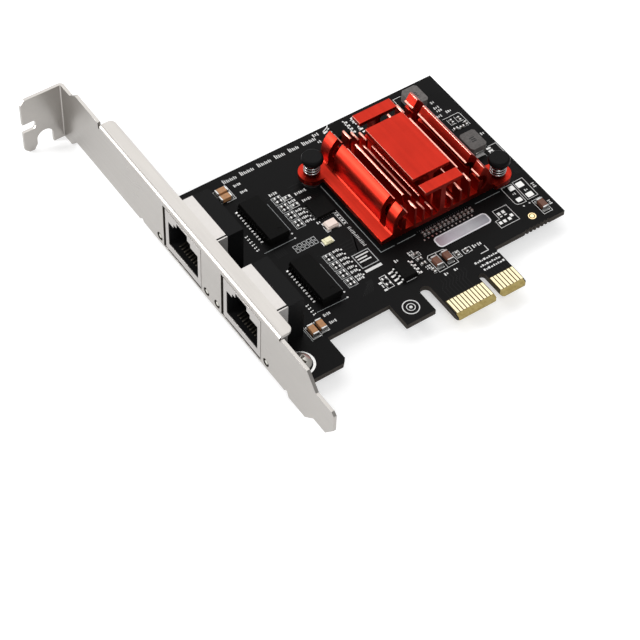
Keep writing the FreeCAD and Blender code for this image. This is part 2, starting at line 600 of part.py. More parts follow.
def heatsink():
    body = new_body("heatsink_body")
    cx, cy = v("sink_centre_x"), v("sink_centre_y")
    hx, zb, zu, top = v("sink_half_x"), v("sink_base_top"), v("sink_under"), v("sink_cap_top")
    ch = v("sink_cap_half")

    # Half section of the extrusion, offsets measured outwards from its centre.
    outer = [
        (hx, zu), (hx, zu + 1.1), (hx - 0.35, zu + 1.42, (hx - 0.08, zu + 1.34)),
        (15.75, 3.6),
        (14.72, 4.9, (15.02, 3.98)),
        (14.5, 8.1, (14.74, 6.6)),
        (13.75, 9.85, (14.23, 9.0)),
        (12.35, 11.55, (13.12, 10.76)),
        (12.05, 11.45, (12.2, 11.62)),
        (10.95, 9.405), (10.6, 9.36), (10.56, 8.98),
        (12.2, 8.75, (11.45, 9.05)),
        (13.4, 6.9, (13.15, 8.0)),
        (12.6, 4.25, (13.25, 5.4)),
        (12.15, 4.25, (12.38, 4.1)),
        (12.25, 6.6), (11.7, 7.5, (12.15, 7.3)), (10.9, 7.2, (11.2, 7.55)),
        (10.85, zb),
    ]
    fins = [(8.5, 7.8, 9.4), (5.95, 5.3, 7.55), (3.35, 2.7, 5.95)]
    inner = []
    for a, b, z in fins:
        inner += [(a, zb), (a, z - 0.2), (a - 0.2, z), (b + 0.2, z), (b, z - 0.2), (b, zb)]
    inner += [(1.3, zb), (1.3, v("saw_floor")), (0.75, v("saw_floor")), (0.75, top - 1.5), (1.15, top - 1.1),
              (ch, top - 1.1), (ch, top)]
    right = outer + inner

    def flip(p):
        if len(p) == 3:
            return (-p[0], p[1], (-p[2][0], p[2][1]))
        return (-p[0], p[1])

    # Run the right half down to the cap, then back up the mirrored left half.
    loop = [(cx + p[0], p[1]) if len(p) == 2 else (cx + p[0], p[1], (cx + p[2][0], p[2][1])) for p in right]
    mirror = [flip(p) for p in right]
    back = []
    for i in range(len(mirror) - 1, -1, -1):
        x, z = mirror[i][0], mirror[i][1]
        if i + 1 < len(mirror) and len(mirror[i + 1]) == 3:
            m = mirror[i + 1][2]
            back.append((cx + x, z, (cx + m[0], m[1])))
        else:
            back.append((cx + x, z))
    loop += back
    half = v("sink_length") / 2
    sk = sketch(body, "sink_section", "XZ_Plane", [loop], -(cy - half))
    pad(body, sk, "sink_extrusion", v("sink_length"), "@sink_length", reverse=True)
    doc.recompute()
    # Lugs for the push pins at two opposite corners.
    lr = v("lug_radius")
    for tag, sx in (("front", -1.0), ("rear", 1.0)):
        lx, ly = cx + sx * v("lug_x"), cy - sx * v("lug_y")
        s = math.sqrt(0.5)
        e = cx + sx * (hx - 2.0)
        loop = [(e, ly - lr), (lx, ly - lr), (lx + sx * lr, ly, (lx + sx * lr * s, ly - lr * s)),
                (lx, ly + lr, (lx + sx * lr * s, ly + lr * s)), (e, ly + lr)]
        sk = sketch(body, "lug_" + tag, "XY_Plane", [loop], zu)
        pad(body, sk, "lug_pad_" + tag, zb - zu, "@sink_base_top - @sink_under")
        doc.recompute()
    sk = sketch(body, "lug_bores", "XY_Plane",
                [("circle", cx - v("lug_x"), cy + v("lug_y"), v("lug_bore") / 2),
                 ("circle", cx + v("lug_x"), cy - v("lug_y"), v("lug_bore") / 2)], zb + 1.0)
    pocket(body, sk, "lug_bores_cut", 4.0)
    # Two saw cuts across every fin.
    sw, so, fl = v("saw_width"), v("saw_offset"), v("saw_floor")
    for tag, yc in (("south", cy - so - 0.25), ("north", cy + so)):
        sk = sketch(body, "saw_" + tag, "XY_Plane", [rect(cx - hx - 1, yc - sw / 2, cx + hx + 1, yc + sw / 2)], top + 1.0)
        pocket(body, sk, "saw_cut_" + tag, top + 1.0 - fl)
    body.Placement = FRAME
    keep("heatsink", body)


heatsink()


def push_pins():
    cx, cy = v("sink_centre_x"), v("sink_centre_y")
    pins, coils = [], []
    for sx in (-1.0, 1.0):
        x, y = cx + sx * v("lug_x"), cy - sx * v("lug_y")
        r, lo, hi = v("pin_head") / 2, v("pin_head_low"), v("pin_head_top")
        rs = v("pin_shaft") / 2
        prof = [(0, hi), (r - 0.7, hi), (r - 0.2, hi - 0.2), (r, hi - 0.6), (r, lo + 0.15), (r - 0.15, lo), (rs, lo),
                (rs, -v("board_thick")), (1.78, -v("board_thick")), (1.78, -2.1), (0.9, v("pin_tip") + 0.15), (0.6, v("pin_tip")), (0, v("pin_tip"))]
        wire = Part.makePolygon([Vector(a, 0, b) for a, b in prof + [prof[0]]])
        pin = Part.Face(wire).revolve(Vector(0, 0, 0), Vector(0, 0, 1), 360)
        # The barbed end is split so that it can close through the board.
        pin = pin.cut(box(-0.3, -3.0, v("pin_tip") - 1.0, 0.3, 3.0, -0.6))
        pin.translate(Vector(x, y, 0))
        pins.append(pin)
        wire_d, mean = v("spring_wire"), v("spring_mean")
        z0, z1 = v("sink_base_top") + wire_d / 2 + 0.005, lo - wire_d / 2 - 0.005
        turns = int(v("spring_turns"))
        pitch = (z1 - z0) / turns
        circle = Part.Wire(Part.makeCircle(wire_d / 2, Vector(mean / 2, 0, 0), Vector(0, 1, 0)))
        turn = Part.Wire(Part.makeHelix(pitch, pitch, mean / 2)).makePipeShell([circle], True, True)
        coil = turn.copy()
        for k in range(1, turns):
            upper = turn.copy()
            upper.translate(Vector(0, 0, pitch * k))
            coil = coil.fuse(upper)
        coil.translate(Vector(x, y, z0))
        coils.append(coil)
    obj = feature("push_pins_solids", group(pins))
    obj.Placement = FRAME
    keep("push_pins", obj)
    obj = feature("push_pin_springs_solids", group(coils))
    obj.Placement = FRAME
    keep("push_pin_springs", obj)


push_pins()


# ---- smaller components ---------------------------------------------------

CHOKES = [(78.5, 63.0), (81.55, 42.4)]


def chokes():
    cores, ends = [], []
    hx, hy, hz = v("choke_x") / 2, v("choke_y") / 2, v("choke_height")
    for x, y in CHOKES:
        core = box(x - hx, y - hy, 0.0, x + hx, y + hy, hz)
        core = core.makeChamfer(0.6, [e for e in core.Edges if abs(e.tangentAt(e.FirstParameter).z) > 0.9])
        core = core.makeFillet(0.08, [e for e in core.Edges if e.BoundBox.ZMin > hz - 1e-6])
        for s in (-1, 1):
            core = core.cut(box(x - 1.3, y + s * hy - 0.3, 0.0, x + 1.3, y + s * hy + 0.3, 1.3))
            ends.append(box(x - 1.3, y + s * hy - 0.3 if s > 0 else y + s * hy - 0.1, 0.0,
                            x + 1.3, y + s * hy + 0.1 if s > 0 else y + s * hy + 0.3, 1.3))
        cores.append(core)
    obj = feature("chokes_solids", group(cores))
    obj.Placement = FRAME
    keep("power_chokes", obj)
    obj = feature("choke_terminals_solids", group(ends))
    obj.Placement = FRAME
    keep("choke_terminals", obj)


chokes()


def soic(label, x, y):
    hx, hy = v("soic_x") / 2, v("soic_y") / 2
    body = drafted_package("soic", x - hx, x + hx, y - hy, y + hy, 0.1, v("soic_height"), 0.2)
    body = body.cut(Part.makeCylinder(0.35, 0.3, Vector(x - hx + 0.85, y - hy + 0.85, v("soic_height") - 0.08)))
    obj = feature(label + "_solid", body)
    obj.Placement = FRAME
    keep(label, obj)
    zm = (0.1 + v("soic_height")) / 2
    solids = []
    for i in range(4):
        yy = y + (i - 1.5) * v("soic_pitch")
        for s in (-1, 1):
            solids.append(gull_lead(x + s * v("soic_span") / 2, x + s * hx, yy, 0.42, zm + 0.08, 0.17, 0.6))
    obj = feature(label + "_leads_solids", group(solids))
    obj.Placement = FRAME
    keep(label + "_leads", obj)


soic("memory_chip", 43.25, 18.3)
soic("driver_chip", 56.6, 65.0)


def plain_box(label, x, y, wx, wy, hz, text):
    obj = doc.addObject("Part::Box", label + "_box")
    expr(obj, "Length", text[0])
    expr(obj, "Width", text[1])
    expr(obj, "Height", text[2])
    obj.Placement = FRAME.multiply(Placement(Vector(x - wx / 2, y - wy / 2, 0), Rotation()))
    keep(label, obj)


plain_box("regulator_chip", 37.9, 46.4, v("qfn_size"), v("qfn_size"), v("qfn_height"), ("@qfn_size", "@qfn_size", "@qfn_height"))


def crystals():
    base = box(37.0 - v("xtal_x") / 2, 40.65 - v("xtal_y") / 2, 0.0, 37.0 + v("xtal_x") / 2, 40.65 + v("xtal_y") / 2, 0.55)
    lid = box(37.0 - v("xtal_x") / 2 + 0.2, 40.65 - v("xtal_y") / 2 + 0.2, 0.55, 37.0 + v("xtal_x") / 2 - 0.2,
              40.65 + v("xtal_y") / 2 - 0.2, v("xtal_height"))
    obj = feature("crystal_solid", base.fuse(lid).removeSplitter())
    obj.Placement = FRAME
    keep("crystal", obj)
    lamp = box(32.05, 35.75, 0.0, 34.55, 37.6, 0.5)
    dome = box(32.5, 35.95, 0.45, 34.1, 37.4, 0.85)
    dome = dome.makeFillet(0.15, [e for e in dome.Edges if e.BoundBox.ZMin > 0.84])
    obj = feature("status_lamp_solid", lamp.fuse(dome).removeSplitter())
    obj.Placement = FRAME
    keep("status_lamp", obj)


crystals()


def chips(label, places, length, width, height, end):
    """Two-ended chip parts: ceramic middles in one node, plated ends in another.
    A place is (x, y, along) with along the axis of the part."""
    mids, ends = [], []
    for x, y, along in places:
        lx, ly = (length / 2, width / 2) if along == "x" else (width / 2, length / 2)
        if along == "x":
            mid = box(x - lx + end, y - ly + 0.03, 0.03, x + lx - end, y + ly - 0.03, height - 0.03)
            e0 = box(x - lx, y - ly, 0.0, x - lx + end, y + ly, height)
            e1 = box(x + lx - end, y - ly, 0.0, x + lx, y + ly, height)
        else:
            mid = box(x - lx + 0.03, y - ly + end, 0.03, x + lx - 0.03, y + ly - end, height - 0.03)
            e0 = box(x - lx, y - ly, 0.0, x + lx, y - ly + end, height)
            e1 = box(x - lx, y + ly - end, 0.0, x + lx, y + ly, height)
        mids.append(mid)
        ends += [e0, e1]
    obj = feature(label + "_solids", group(mids))
    obj.Placement = FRAME
    keep(label, obj)
    obj = feature(label + "_ends_solids", group(ends))
    obj.Placement = FRAME
    keep(label + "_ends", obj)


chips("ceramic_capacitors",
      [(20.3, 64.0, "x"), (20.1, 61.75, "x"), (14.5, 15.6, "y"), (17.0, 15.9, "y"),
       (51.4, 16.6, "y"), (54.5, 16.6, "y"), (84.3, 17.3, "y")],
      v("cap_length"), v("cap_width"), v("cap_height"), v("cap_end"))

RES = []
for x0, y0 in ((30.6, 54.33), (30.6, 32.11)):
    for i in range(4):
        for side in (0.61, -0.61):
            RES.append((x0, y0 - 3.025 * i + side, "x"))
RES += [(33.1, 53.84, "x"), (33.3, 50.75, "x"), (37.8, 19.4, "x"), (37.8, 17.6, "x")]
chips("chip_resistors", RES, v("res_length"), v("res_width"), v("res_height"), v("res_end"))

TINY = [(54.2 + 1.2 * i, 25.8, "y") for i in range(13)]
TINY += [(82.6, 52.4, "y"), (84.8, 52.2, "y"), (81.9, 49.8, "x"), (83.7, 49.5, "x"), (85.3, 50.0, "y"),
         (48.6, 21.6, "x"), (48.6, 19.9, "x"), (48.6, 18.2, "x"), (59.7, 15.8, "y"), (57.2, 16.0, "y"), (49.4, 15.0, "y")]
chips("small_capacitors", TINY, v("tiny_length"), v("tiny_width"), v("tiny_height"), v("tiny_end"))


def blank_label():
    x0, x1, y0, y1 = v("label_x0"), v("label_x1"), v("label_y0"), v("label_y1")
    sheet_box = box(x0, y0, 0.0, x1, y1, v("label_thick"))
    sheet_box = sheet_box.makeFillet(0.9, [e for e in sheet_box.Edges if abs(e.tangentAt(e.FirstParameter).z) > 0.9])
    obj = feature("blank_label_solid", sheet_box)
    obj.Placement = FRAME
    keep("blank_label", obj)


blank_label()

doc.recompute()

# ---- checks and export ----------------------------------------------------

for obj in doc.Objects:
    for state in obj.State:
        if state in ("Invalid", "Error"):
            raise RuntimeError("%s is %s" % (obj.Label, state))
lowest = Vector(1e9, 1e9, 1e9)
highest = Vector(-1e9, -1e9, -1e9)
for label, obj in NODES.items():
    shape = obj.Shape
    if shape.isNull() or not shape.isValid() or not shape.Solids:
        raise RuntimeError("%s has no valid shape" % label)
    bb = shape.BoundBox
    lowest = Vector(min(lowest.x, bb.XMin), min(lowest.y, bb.YMin), min(lowest.z, bb.ZMin))
    highest = Vector(max(highest.x, bb.XMax), max(highest.y, bb.YMax), max(highest.z, bb.ZMax))

os.makedirs("parts", exist_ok=True)
for label, obj in NODES.items():
    obj.Shape.exportStep(os.path.join("parts", label + ".step"))
    print("%-26s solids %3d  volume %9.2f" % (label, len(obj.Shape.Solids), obj.Shape.Volume))
print("box", [round(c, 3) for c in (lowest.x, lowest.y, lowest.z)], [round(c, 3) for c in (highest.x, highest.y, highest.z)])
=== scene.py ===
import bpy
import bmesh
import json
import math
import random
from mathutils import Matrix, Vector


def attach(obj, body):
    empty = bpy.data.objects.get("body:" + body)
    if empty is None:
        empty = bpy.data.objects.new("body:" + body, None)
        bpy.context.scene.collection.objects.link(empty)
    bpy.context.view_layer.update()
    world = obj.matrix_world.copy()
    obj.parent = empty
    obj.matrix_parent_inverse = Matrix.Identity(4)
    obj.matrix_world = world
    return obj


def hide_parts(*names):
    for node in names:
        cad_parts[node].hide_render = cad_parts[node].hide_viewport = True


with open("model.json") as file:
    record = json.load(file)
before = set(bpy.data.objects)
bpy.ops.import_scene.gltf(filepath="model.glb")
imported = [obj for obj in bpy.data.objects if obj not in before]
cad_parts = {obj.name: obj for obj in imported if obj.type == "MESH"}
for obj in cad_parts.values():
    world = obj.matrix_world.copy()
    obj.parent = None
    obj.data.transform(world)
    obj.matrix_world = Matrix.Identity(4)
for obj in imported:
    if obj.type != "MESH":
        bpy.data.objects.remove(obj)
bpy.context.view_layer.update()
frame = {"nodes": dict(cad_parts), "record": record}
NODES = frame["nodes"]
SLOT_OF = {s["node"]: s["material_slot"] for s in frame["record"]["subparts"]}
random.seed(7)

# The working frame of the numbers below is the one the part is drawn in:
# millimetres, X from the bracket's outer face, Y from the free edge of the
# contacts, Z from the component side of the board.
SHIFT = Vector((38.235, 46.76, -4.75))


def P(x, y, z=0.0):
    return Vector(((x - SHIFT.x) / 1000.0, (y - SHIFT.y) / 1000.0, (z - SHIFT.z) / 1000.0))


BOARD = 0.0        # top face of the board
UNDER = -1.57      # bottom face of the board

# ---------------------------------------------------------------------------
# materials
# ---------------------------------------------------------------------------


def new_material(name):
    m = bpy.data.materials.new(name)
    m.use_nodes = True
    nt = m.node_tree
    bsdf = nt.nodes["Principled BSDF"]
    return m, nt, bsdf


def coords(nt, scale=1.0, stretch=(1, 1, 1)):
    tc = nt.nodes.new("ShaderNodeTexCoord")
    mp = nt.nodes.new("ShaderNodeMapping")
    mp.inputs["Scale"].default_value = (scale * stretch[0], scale * stretch[1], scale * stretch[2])
    nt.links.new(tc.outputs["Object"], mp.inputs["Vector"])
    return mp.outputs["Vector"]


def noise(nt, vec, scale, detail=3.0, rough=0.55):
    n = nt.nodes.new("ShaderNodeTexNoise")
    n.inputs["Scale"].default_value = scale
    n.inputs["Detail"].default_value = detail
    n.inputs["Roughness"].default_value = rough
    nt.links.new(vec, n.inputs["Vector"])
    return n.outputs["Fac"]


def ramp(nt, fac, stops):
    r = nt.nodes.new("ShaderNodeValToRGB")
    r.color_ramp.elements[0].position = stops[0][0]
    r.color_ramp.elements[0].color = stops[0][1]
    r.color_ramp.elements[1].position = stops[-1][0]
    r.color_ramp.elements[1].color = stops[-1][1]
    for pos, col in stops[1:-1]:
        e = r.color_ramp.elements.new(pos)
        e.color = col
    nt.links.new(fac, r.inputs["Fac"])
    return r.outputs["Color"]


def grey(v):
    return (v, v, v, 1.0)


def remap(nt, fac, lo, hi, f0=0.3, f1=0.7):
    m = nt.nodes.new("ShaderNodeMapRange")
    m.inputs["From Min"].default_value = f0
    m.inputs["From Max"].default_value = f1
    m.inputs["To Min"].default_value = lo
    m.inputs["To Max"].default_value = hi
    nt.links.new(fac, m.inputs["Value"])
    return m.outputs["Result"]


def math_node(nt, op, a, b=None, clamp=False):
    m = nt.nodes.new("ShaderNodeMath")
    m.operation = op
    m.use_clamp = clamp
    for i, v in enumerate((a, b)):
        if v is None:
            continue
        if isinstance(v, (int, float)):
            m.inputs[i].default_value = v
        else:
            nt.links.new(v, m.inputs[i])
    return m.outputs[0]


def mix_color(nt, fac, a, b, blend="MIX"):
    m = nt.nodes.new("ShaderNodeMix")
    m.data_type = "RGBA"
    m.blend_type = blend
    if isinstance(fac, (int, float)):
        m.inputs["Factor"].default_value = fac
    else:
        nt.links.new(fac, m.inputs["Factor"])
    for key, v in (("A", a), ("B", b)):
        sock = [s for s in m.inputs if s.name == key and s.type == "RGBA"][0]
        if isinstance(v, tuple):
            sock.default_value = v
        else:
            nt.links.new(v, sock)
    return [s for s in m.outputs if s.type == "RGBA"][0]


def bump(nt, height, strength, distance, normal=None):
    b = nt.nodes.new("ShaderNodeBump")
    b.inputs["Strength"].default_value = strength
    b.inputs["Distance"].default_value = distance
    nt.links.new(height, b.inputs["Height"])
    if normal is not None:
        nt.links.new(normal, b.inputs["Normal"])
    return b.outputs["Normal"]


def finish_material(name, color, rough, metallic=0.0, spec=0.5, colour_var=0.0, grain=1200.0, grain_depth=4e-6,
                    rough_var=0.06, stretch=(1, 1, 1), coat=0.0, patch=60.0, tint=None):
    """General procedural finish: slow colour drift, fine surface grain, and roughness that varies."""
    m, nt, bsdf = new_material(name)
    vec = coords(nt, 1.0, stretch)
    big = noise(nt, vec, patch, 4.0)
    fine = noise(nt, vec, grain, 2.0, 0.6)
    dark = tuple(c * (1.0 - colour_var) for c in color) + (1.0,)
    light = tuple(min(1.0, c * (1.0 + colour_var)) for c in (tint or color)) + (1.0,)
    nt.links.new(ramp(nt, big, [(0.3, dark), (0.7, light)]), bsdf.inputs["Base Color"])
    mixed = math_node(nt, "ADD", math_node(nt, "MULTIPLY", big, 0.6), math_node(nt, "MULTIPLY", fine, 0.4))
    nt.links.new(remap(nt, mixed, max(0.02, rough - rough_var), min(1.0, rough + rough_var)), bsdf.inputs["Roughness"])
    nt.links.new(bump(nt, fine, 0.6, grain_depth), bsdf.inputs["Normal"])
    bsdf.inputs["Metallic"].default_value = metallic
    bsdf.inputs["Specular IOR Level"].default_value = spec
    if coat:
        bsdf.inputs["Coat Weight"].default_value = coat
        bsdf.inputs["Coat Roughness"].default_value = 0.25
    return m


def nickel_sheet():
    """Plated steel sheet: faint rolling lines along the strip, clouding, and small press marks."""
    m, nt, bsdf = new_material("nickel_sheet")
    vec = coords(nt)
    lines = noise(nt, coords(nt, 1.0, (1.0, 0.03, 1.0)), 2600.0, 3.0, 0.6)
    cloud = noise(nt, vec, 55.0, 4.0, 0.5)
    peel = noise(nt, vec, 900.0, 2.0, 0.5)
    col = ramp(nt, cloud, [(0.3, (0.372, 0.354, 0.334, 1)), (0.7, (0.418, 0.400, 0.380, 1))])
    nt.links.new(col, bsdf.inputs["Base Color"])
    r = math_node(nt, "ADD", remap(nt, cloud, 0.28, 0.38), remap(nt, lines, -0.03, 0.05))
    nt.links.new(r, bsdf.inputs["Roughness"])
    n1 = bump(nt, peel, 0.25, 6e-6)
    n2 = bump(nt, lines, 0.25, 3e-6, n1)
    nt.links.new(n2, bsdf.inputs["Normal"])
    bsdf.inputs["Metallic"].default_value = 1.0
    return m


def anodised(name, color, rough):
    """Dyed anodised aluminium, extruded along Y: die lines along Y and a faintly uneven dye."""
    m, nt, bsdf = new_material(name)
    die = noise(nt, coords(nt, 1.0, (1.0, 0.02, 1.0)), 1500.0, 4.0, 0.6)
    cloud = noise(nt, coords(nt), 120.0, 3.0, 0.5)
    grit = noise(nt, coords(nt), 5200.0, 2.0, 0.6)
    dark = tuple(c * 0.90 for c in color) + (1.0,)
    light = tuple(min(1.0, c * 1.08) for c in color) + (1.0,)
    nt.links.new(ramp(nt, cloud, [(0.3, dark), (0.7, light)]), bsdf.inputs["Base Color"])
    nt.links.new(remap(nt, die, rough - 0.05, rough + 0.06), bsdf.inputs["Roughness"])
    n1 = bump(nt, grit, 0.35, 5e-6)
    nt.links.new(bump(nt, die, 0.3, 2.0e-6, n1), bsdf.inputs["Normal"])
    bsdf.inputs["Metallic"].default_value = 1.0
    return m


def two_tone(name, near, far, x_split, rough):
    """Chip ceramic whose body colour differs between two makes of part, split by place on the board."""
    m, nt, bsdf = new_material(name)
    tc = nt.nodes.new("ShaderNodeTexCoord")
    sep = nt.nodes.new("ShaderNodeSeparateXYZ")
    nt.links.new(tc.outputs["Object"], sep.inputs["Vector"])
    side = math_node(nt, "GREATER_THAN", sep.outputs["X"], P(x_split, 0, 0).x)
    n = noise(nt, coords(nt), 1500.0, 3.0)
    a = ramp(nt, n, [(0.3, tuple(c * 0.82 for c in near) + (1.0,)), (0.7, tuple(c * 1.15 for c in near) + (1.0,))])
    b = ramp(nt, n, [(0.3, tuple(c * 0.82 for c in far) + (1.0,)), (0.7, tuple(c * 1.15 for c in far) + (1.0,))])
    nt.links.new(mix_color(nt, side, a, b), bsdf.inputs["Base Color"])
    nt.links.new(remap(nt, n, rough - 0.06, rough + 0.08), bsdf.inputs["Roughness"])
    nt.links.new(bump(nt, noise(nt, coords(nt), 4200.0, 2.0), 0.5, 6e-6), bsdf.inputs["Normal"])
    bsdf.inputs["Specular IOR Level"].default_value = 0.28
    return m


def label_film():
    """Printed label film: a soft tone that runs along it, under a thin clear coat."""
    m, nt, bsdf = new_material("label_film")
    tc = nt.nodes.new("ShaderNodeTexCoord")
    sep = nt.nodes.new("ShaderNodeSeparateXYZ")
    nt.links.new(tc.outputs["Object"], sep.inputs["Vector"])
    along = nt.nodes.new("ShaderNodeMapRange")
    along.inputs["From Min"].default_value = P(55.0, 0, 0).x
    along.inputs["From Max"].default_value = P(71.0, 0, 0).x
    nt.links.new(sep.outputs["X"], along.inputs["Value"])
    tone = ramp(nt, along.outputs["Result"], [(0.0, (0.33, 0.25, 0.28, 1)), (0.25, (0.47, 0.43, 0.49, 1)), (0.6, (0.47, 0.47, 0.50, 1)), (1.0, (0.21, 0.21, 0.24, 1))])
    n = noise(nt, coords(nt), 2400.0, 3.0)
    speck = ramp(nt, n, [(0.3, (0.90, 0.90, 0.90, 1)), (0.7, (1, 1, 1, 1))])
    nt.links.new(mix_color(nt, 1.0, tone, speck, "MULTIPLY"), bsdf.inputs["Base Color"])
    nt.links.new(remap(nt, n, 0.28, 0.40), bsdf.inputs["Roughness"])
    nt.links.new(bump(nt, n, 0.3, 3e-6), bsdf.inputs["Normal"])
    bsdf.inputs["Coat Weight"].default_value = 0.3
    bsdf.inputs["Coat Roughness"].default_value = 0.2
    return m


def lead_with_shaded_leg():
    """Tinned foot under a leg darkened as painted shade of the package: the leads of the magnetics, split by height."""
    m, nt, bsdf = new_material("leads_painted_shade")
    tc = nt.nodes.new("ShaderNodeTexCoord")
    sep = nt.nodes.new("ShaderNodeSeparateXYZ")
    nt.links.new(tc.outputs["Object"], sep.inputs["Vector"])
    high = nt.nodes.new("ShaderNodeMapRange")
    high.inputs["From Min"].default_value = P(0, 0, 0.17).z
    high.inputs["From Max"].default_value = P(0, 0, 0.32).z
    nt.links.new(sep.outputs["Z"], high.inputs["Value"])
    n = noise(nt, coords(nt), 3500.0, 2.0)
    foot = ramp(nt, n, [(0.3, (0.66, 0.65, 0.64, 1)), (0.7, (0.76, 0.75, 0.74, 1))])
    shaded_leg = ramp(nt, n, [(0.3, (0.020, 0.020, 0.020, 1)), (0.7, (0.034, 0.034, 0.034, 1))])
    nt.links.new(mix_color(nt, high.outputs["Result"], foot, shaded_leg), bsdf.inputs["Base Color"])
    nt.links.new(remap(nt, n, 0.28, 0.42), bsdf.inputs["Roughness"])
    nt.links.new(bump(nt, n, 0.4, 4e-6), bsdf.inputs["Normal"])
    bsdf.inputs["Metallic"].default_value = 1.0
    return m


def solder_mask():
    """Black mask over the board's faces, bare glass-fibre on the routed edges and the contact tongue."""
    m, nt, bsdf = new_material("solder_mask")
    tc = nt.nodes.new("ShaderNodeTexCoord")
    sep = nt.nodes.new("ShaderNodeSeparateXYZ")
    nt.links.new(tc.outputs["Object"], sep.inputs["Vector"])
    geo = nt.nodes.new("ShaderNodeNewGeometry")
    nsep = nt.nodes.new("ShaderNodeSeparateXYZ")
    nt.links.new(geo.outputs["True Normal"], nsep.inputs["Vector"])
    up = math_node(nt, "ABSOLUTE", nsep.outputs["Z"])
    side = math_node(nt, "LESS_THAN", up, 0.5)
    slope = math_node(nt, "MULTIPLY", math_node(nt, "LESS_THAN", up, 0.995), math_node(nt, "GREATER_THAN", up, 0.5))
    y_low = math_node(nt, "LESS_THAN", sep.outputs["Y"], P(0, 5.95, 0).y)
    x_in = math_node(nt, "MULTIPLY", math_node(nt, "GREATER_THAN", sep.outputs["X"], P(45.9, 0, 0).x),
                     math_node(nt, "LESS_THAN", sep.outputs["X"], P(65.85, 0, 0).x))
    tongue = math_node(nt, "MULTIPLY", y_low, x_in)
    vec = coords(nt)
    cloud = noise(nt, vec, 45.0, 3.0)
    fine = noise(nt, vec, 2200.0, 2.0)
    weave_a = nt.nodes.new("ShaderNodeTexWave")
    weave_a.wave_type = "BANDS"
    weave_a.bands_direction = "X"
    weave_a.inputs["Scale"].default_value = 330.0
    nt.links.new(vec, weave_a.inputs["Vector"])
    weave_b = nt.nodes.new("ShaderNodeTexWave")
    weave_b.bands_direction = "Y"
    weave_b.inputs["Scale"].default_value = 330.0
    nt.links.new(vec, weave_b.inputs["Vector"])
    weave = math_node(nt, "MULTIPLY", weave_a.outputs["Fac"], weave_b.outputs["Fac"])
    mask = ramp(nt, cloud, [(0.3, (0.0036, 0.0036, 0.0038, 1)), (0.7, (0.0062, 0.0060, 0.0060, 1))])
    edge = ramp(nt, noise(nt, coords(nt, 1.0, (1, 1, 12)), 700.0, 3.0), [(0.3, (0.022, 0.019, 0.016, 1)), (0.7, (0.060, 0.052, 0.045, 1))])
    fibre = ramp(nt, noise(nt, vec, 900.0, 3.0), [(0.3, (0.28, 0.215, 0.075, 1)), (0.7, (0.40, 0.32, 0.13, 1))])
    bare = ramp(nt, noise(nt, vec, 1400.0, 3.0), [(0.3, (0.030, 0.024, 0.012, 1)), (0.7, (0.060, 0.048, 0.026, 1))])
    col = mix_color(nt, side, mask, edge)
    col = mix_color(nt, tongue, col, bare)
    tip = math_node(nt, "MULTIPLY", math_node(nt, "LESS_THAN", sep.outputs["Y"], P(0, 1.41, 0).y), x_in)
    col = mix_color(nt, tip, col, fibre)
    nt.links.new(col, bsdf.inputs["Base Color"])
    r0 = remap(nt, cloud, 0.36, 0.46)
    r = math_node(nt, "ADD", r0, math_node(nt, "MULTIPLY", math_node(nt, "MAXIMUM", side, tongue), 0.25))
    nt.links.new(r, bsdf.inputs["Roughness"])
    n1 = bump(nt, weave, 0.12, 6e-6)
    nt.links.new(bump(nt, fine, 0.25, 3e-6, n1), bsdf.inputs["Normal"])
    bsdf.inputs["Specular IOR Level"].default_value = 0.05
    return m


def printed_ink(name, color):
    m, nt, bsdf = new_material(name)
    vec = coords(nt)
    n = noise(nt, vec, 1700.0, 3.0)
    dark = tuple(c * 0.82 for c in color) + (1.0,)
    nt.links.new(ramp(nt, n, [(0.25, dark), (0.6, tuple(color) + (1.0,))]), bsdf.inputs["Base Color"])
    nt.links.new(remap(nt, n, 0.45, 0.65), bsdf.inputs["Roughness"])
    nt.links.new(bump(nt, n, 0.4, 4e-6), bsdf.inputs["Normal"])
    return m


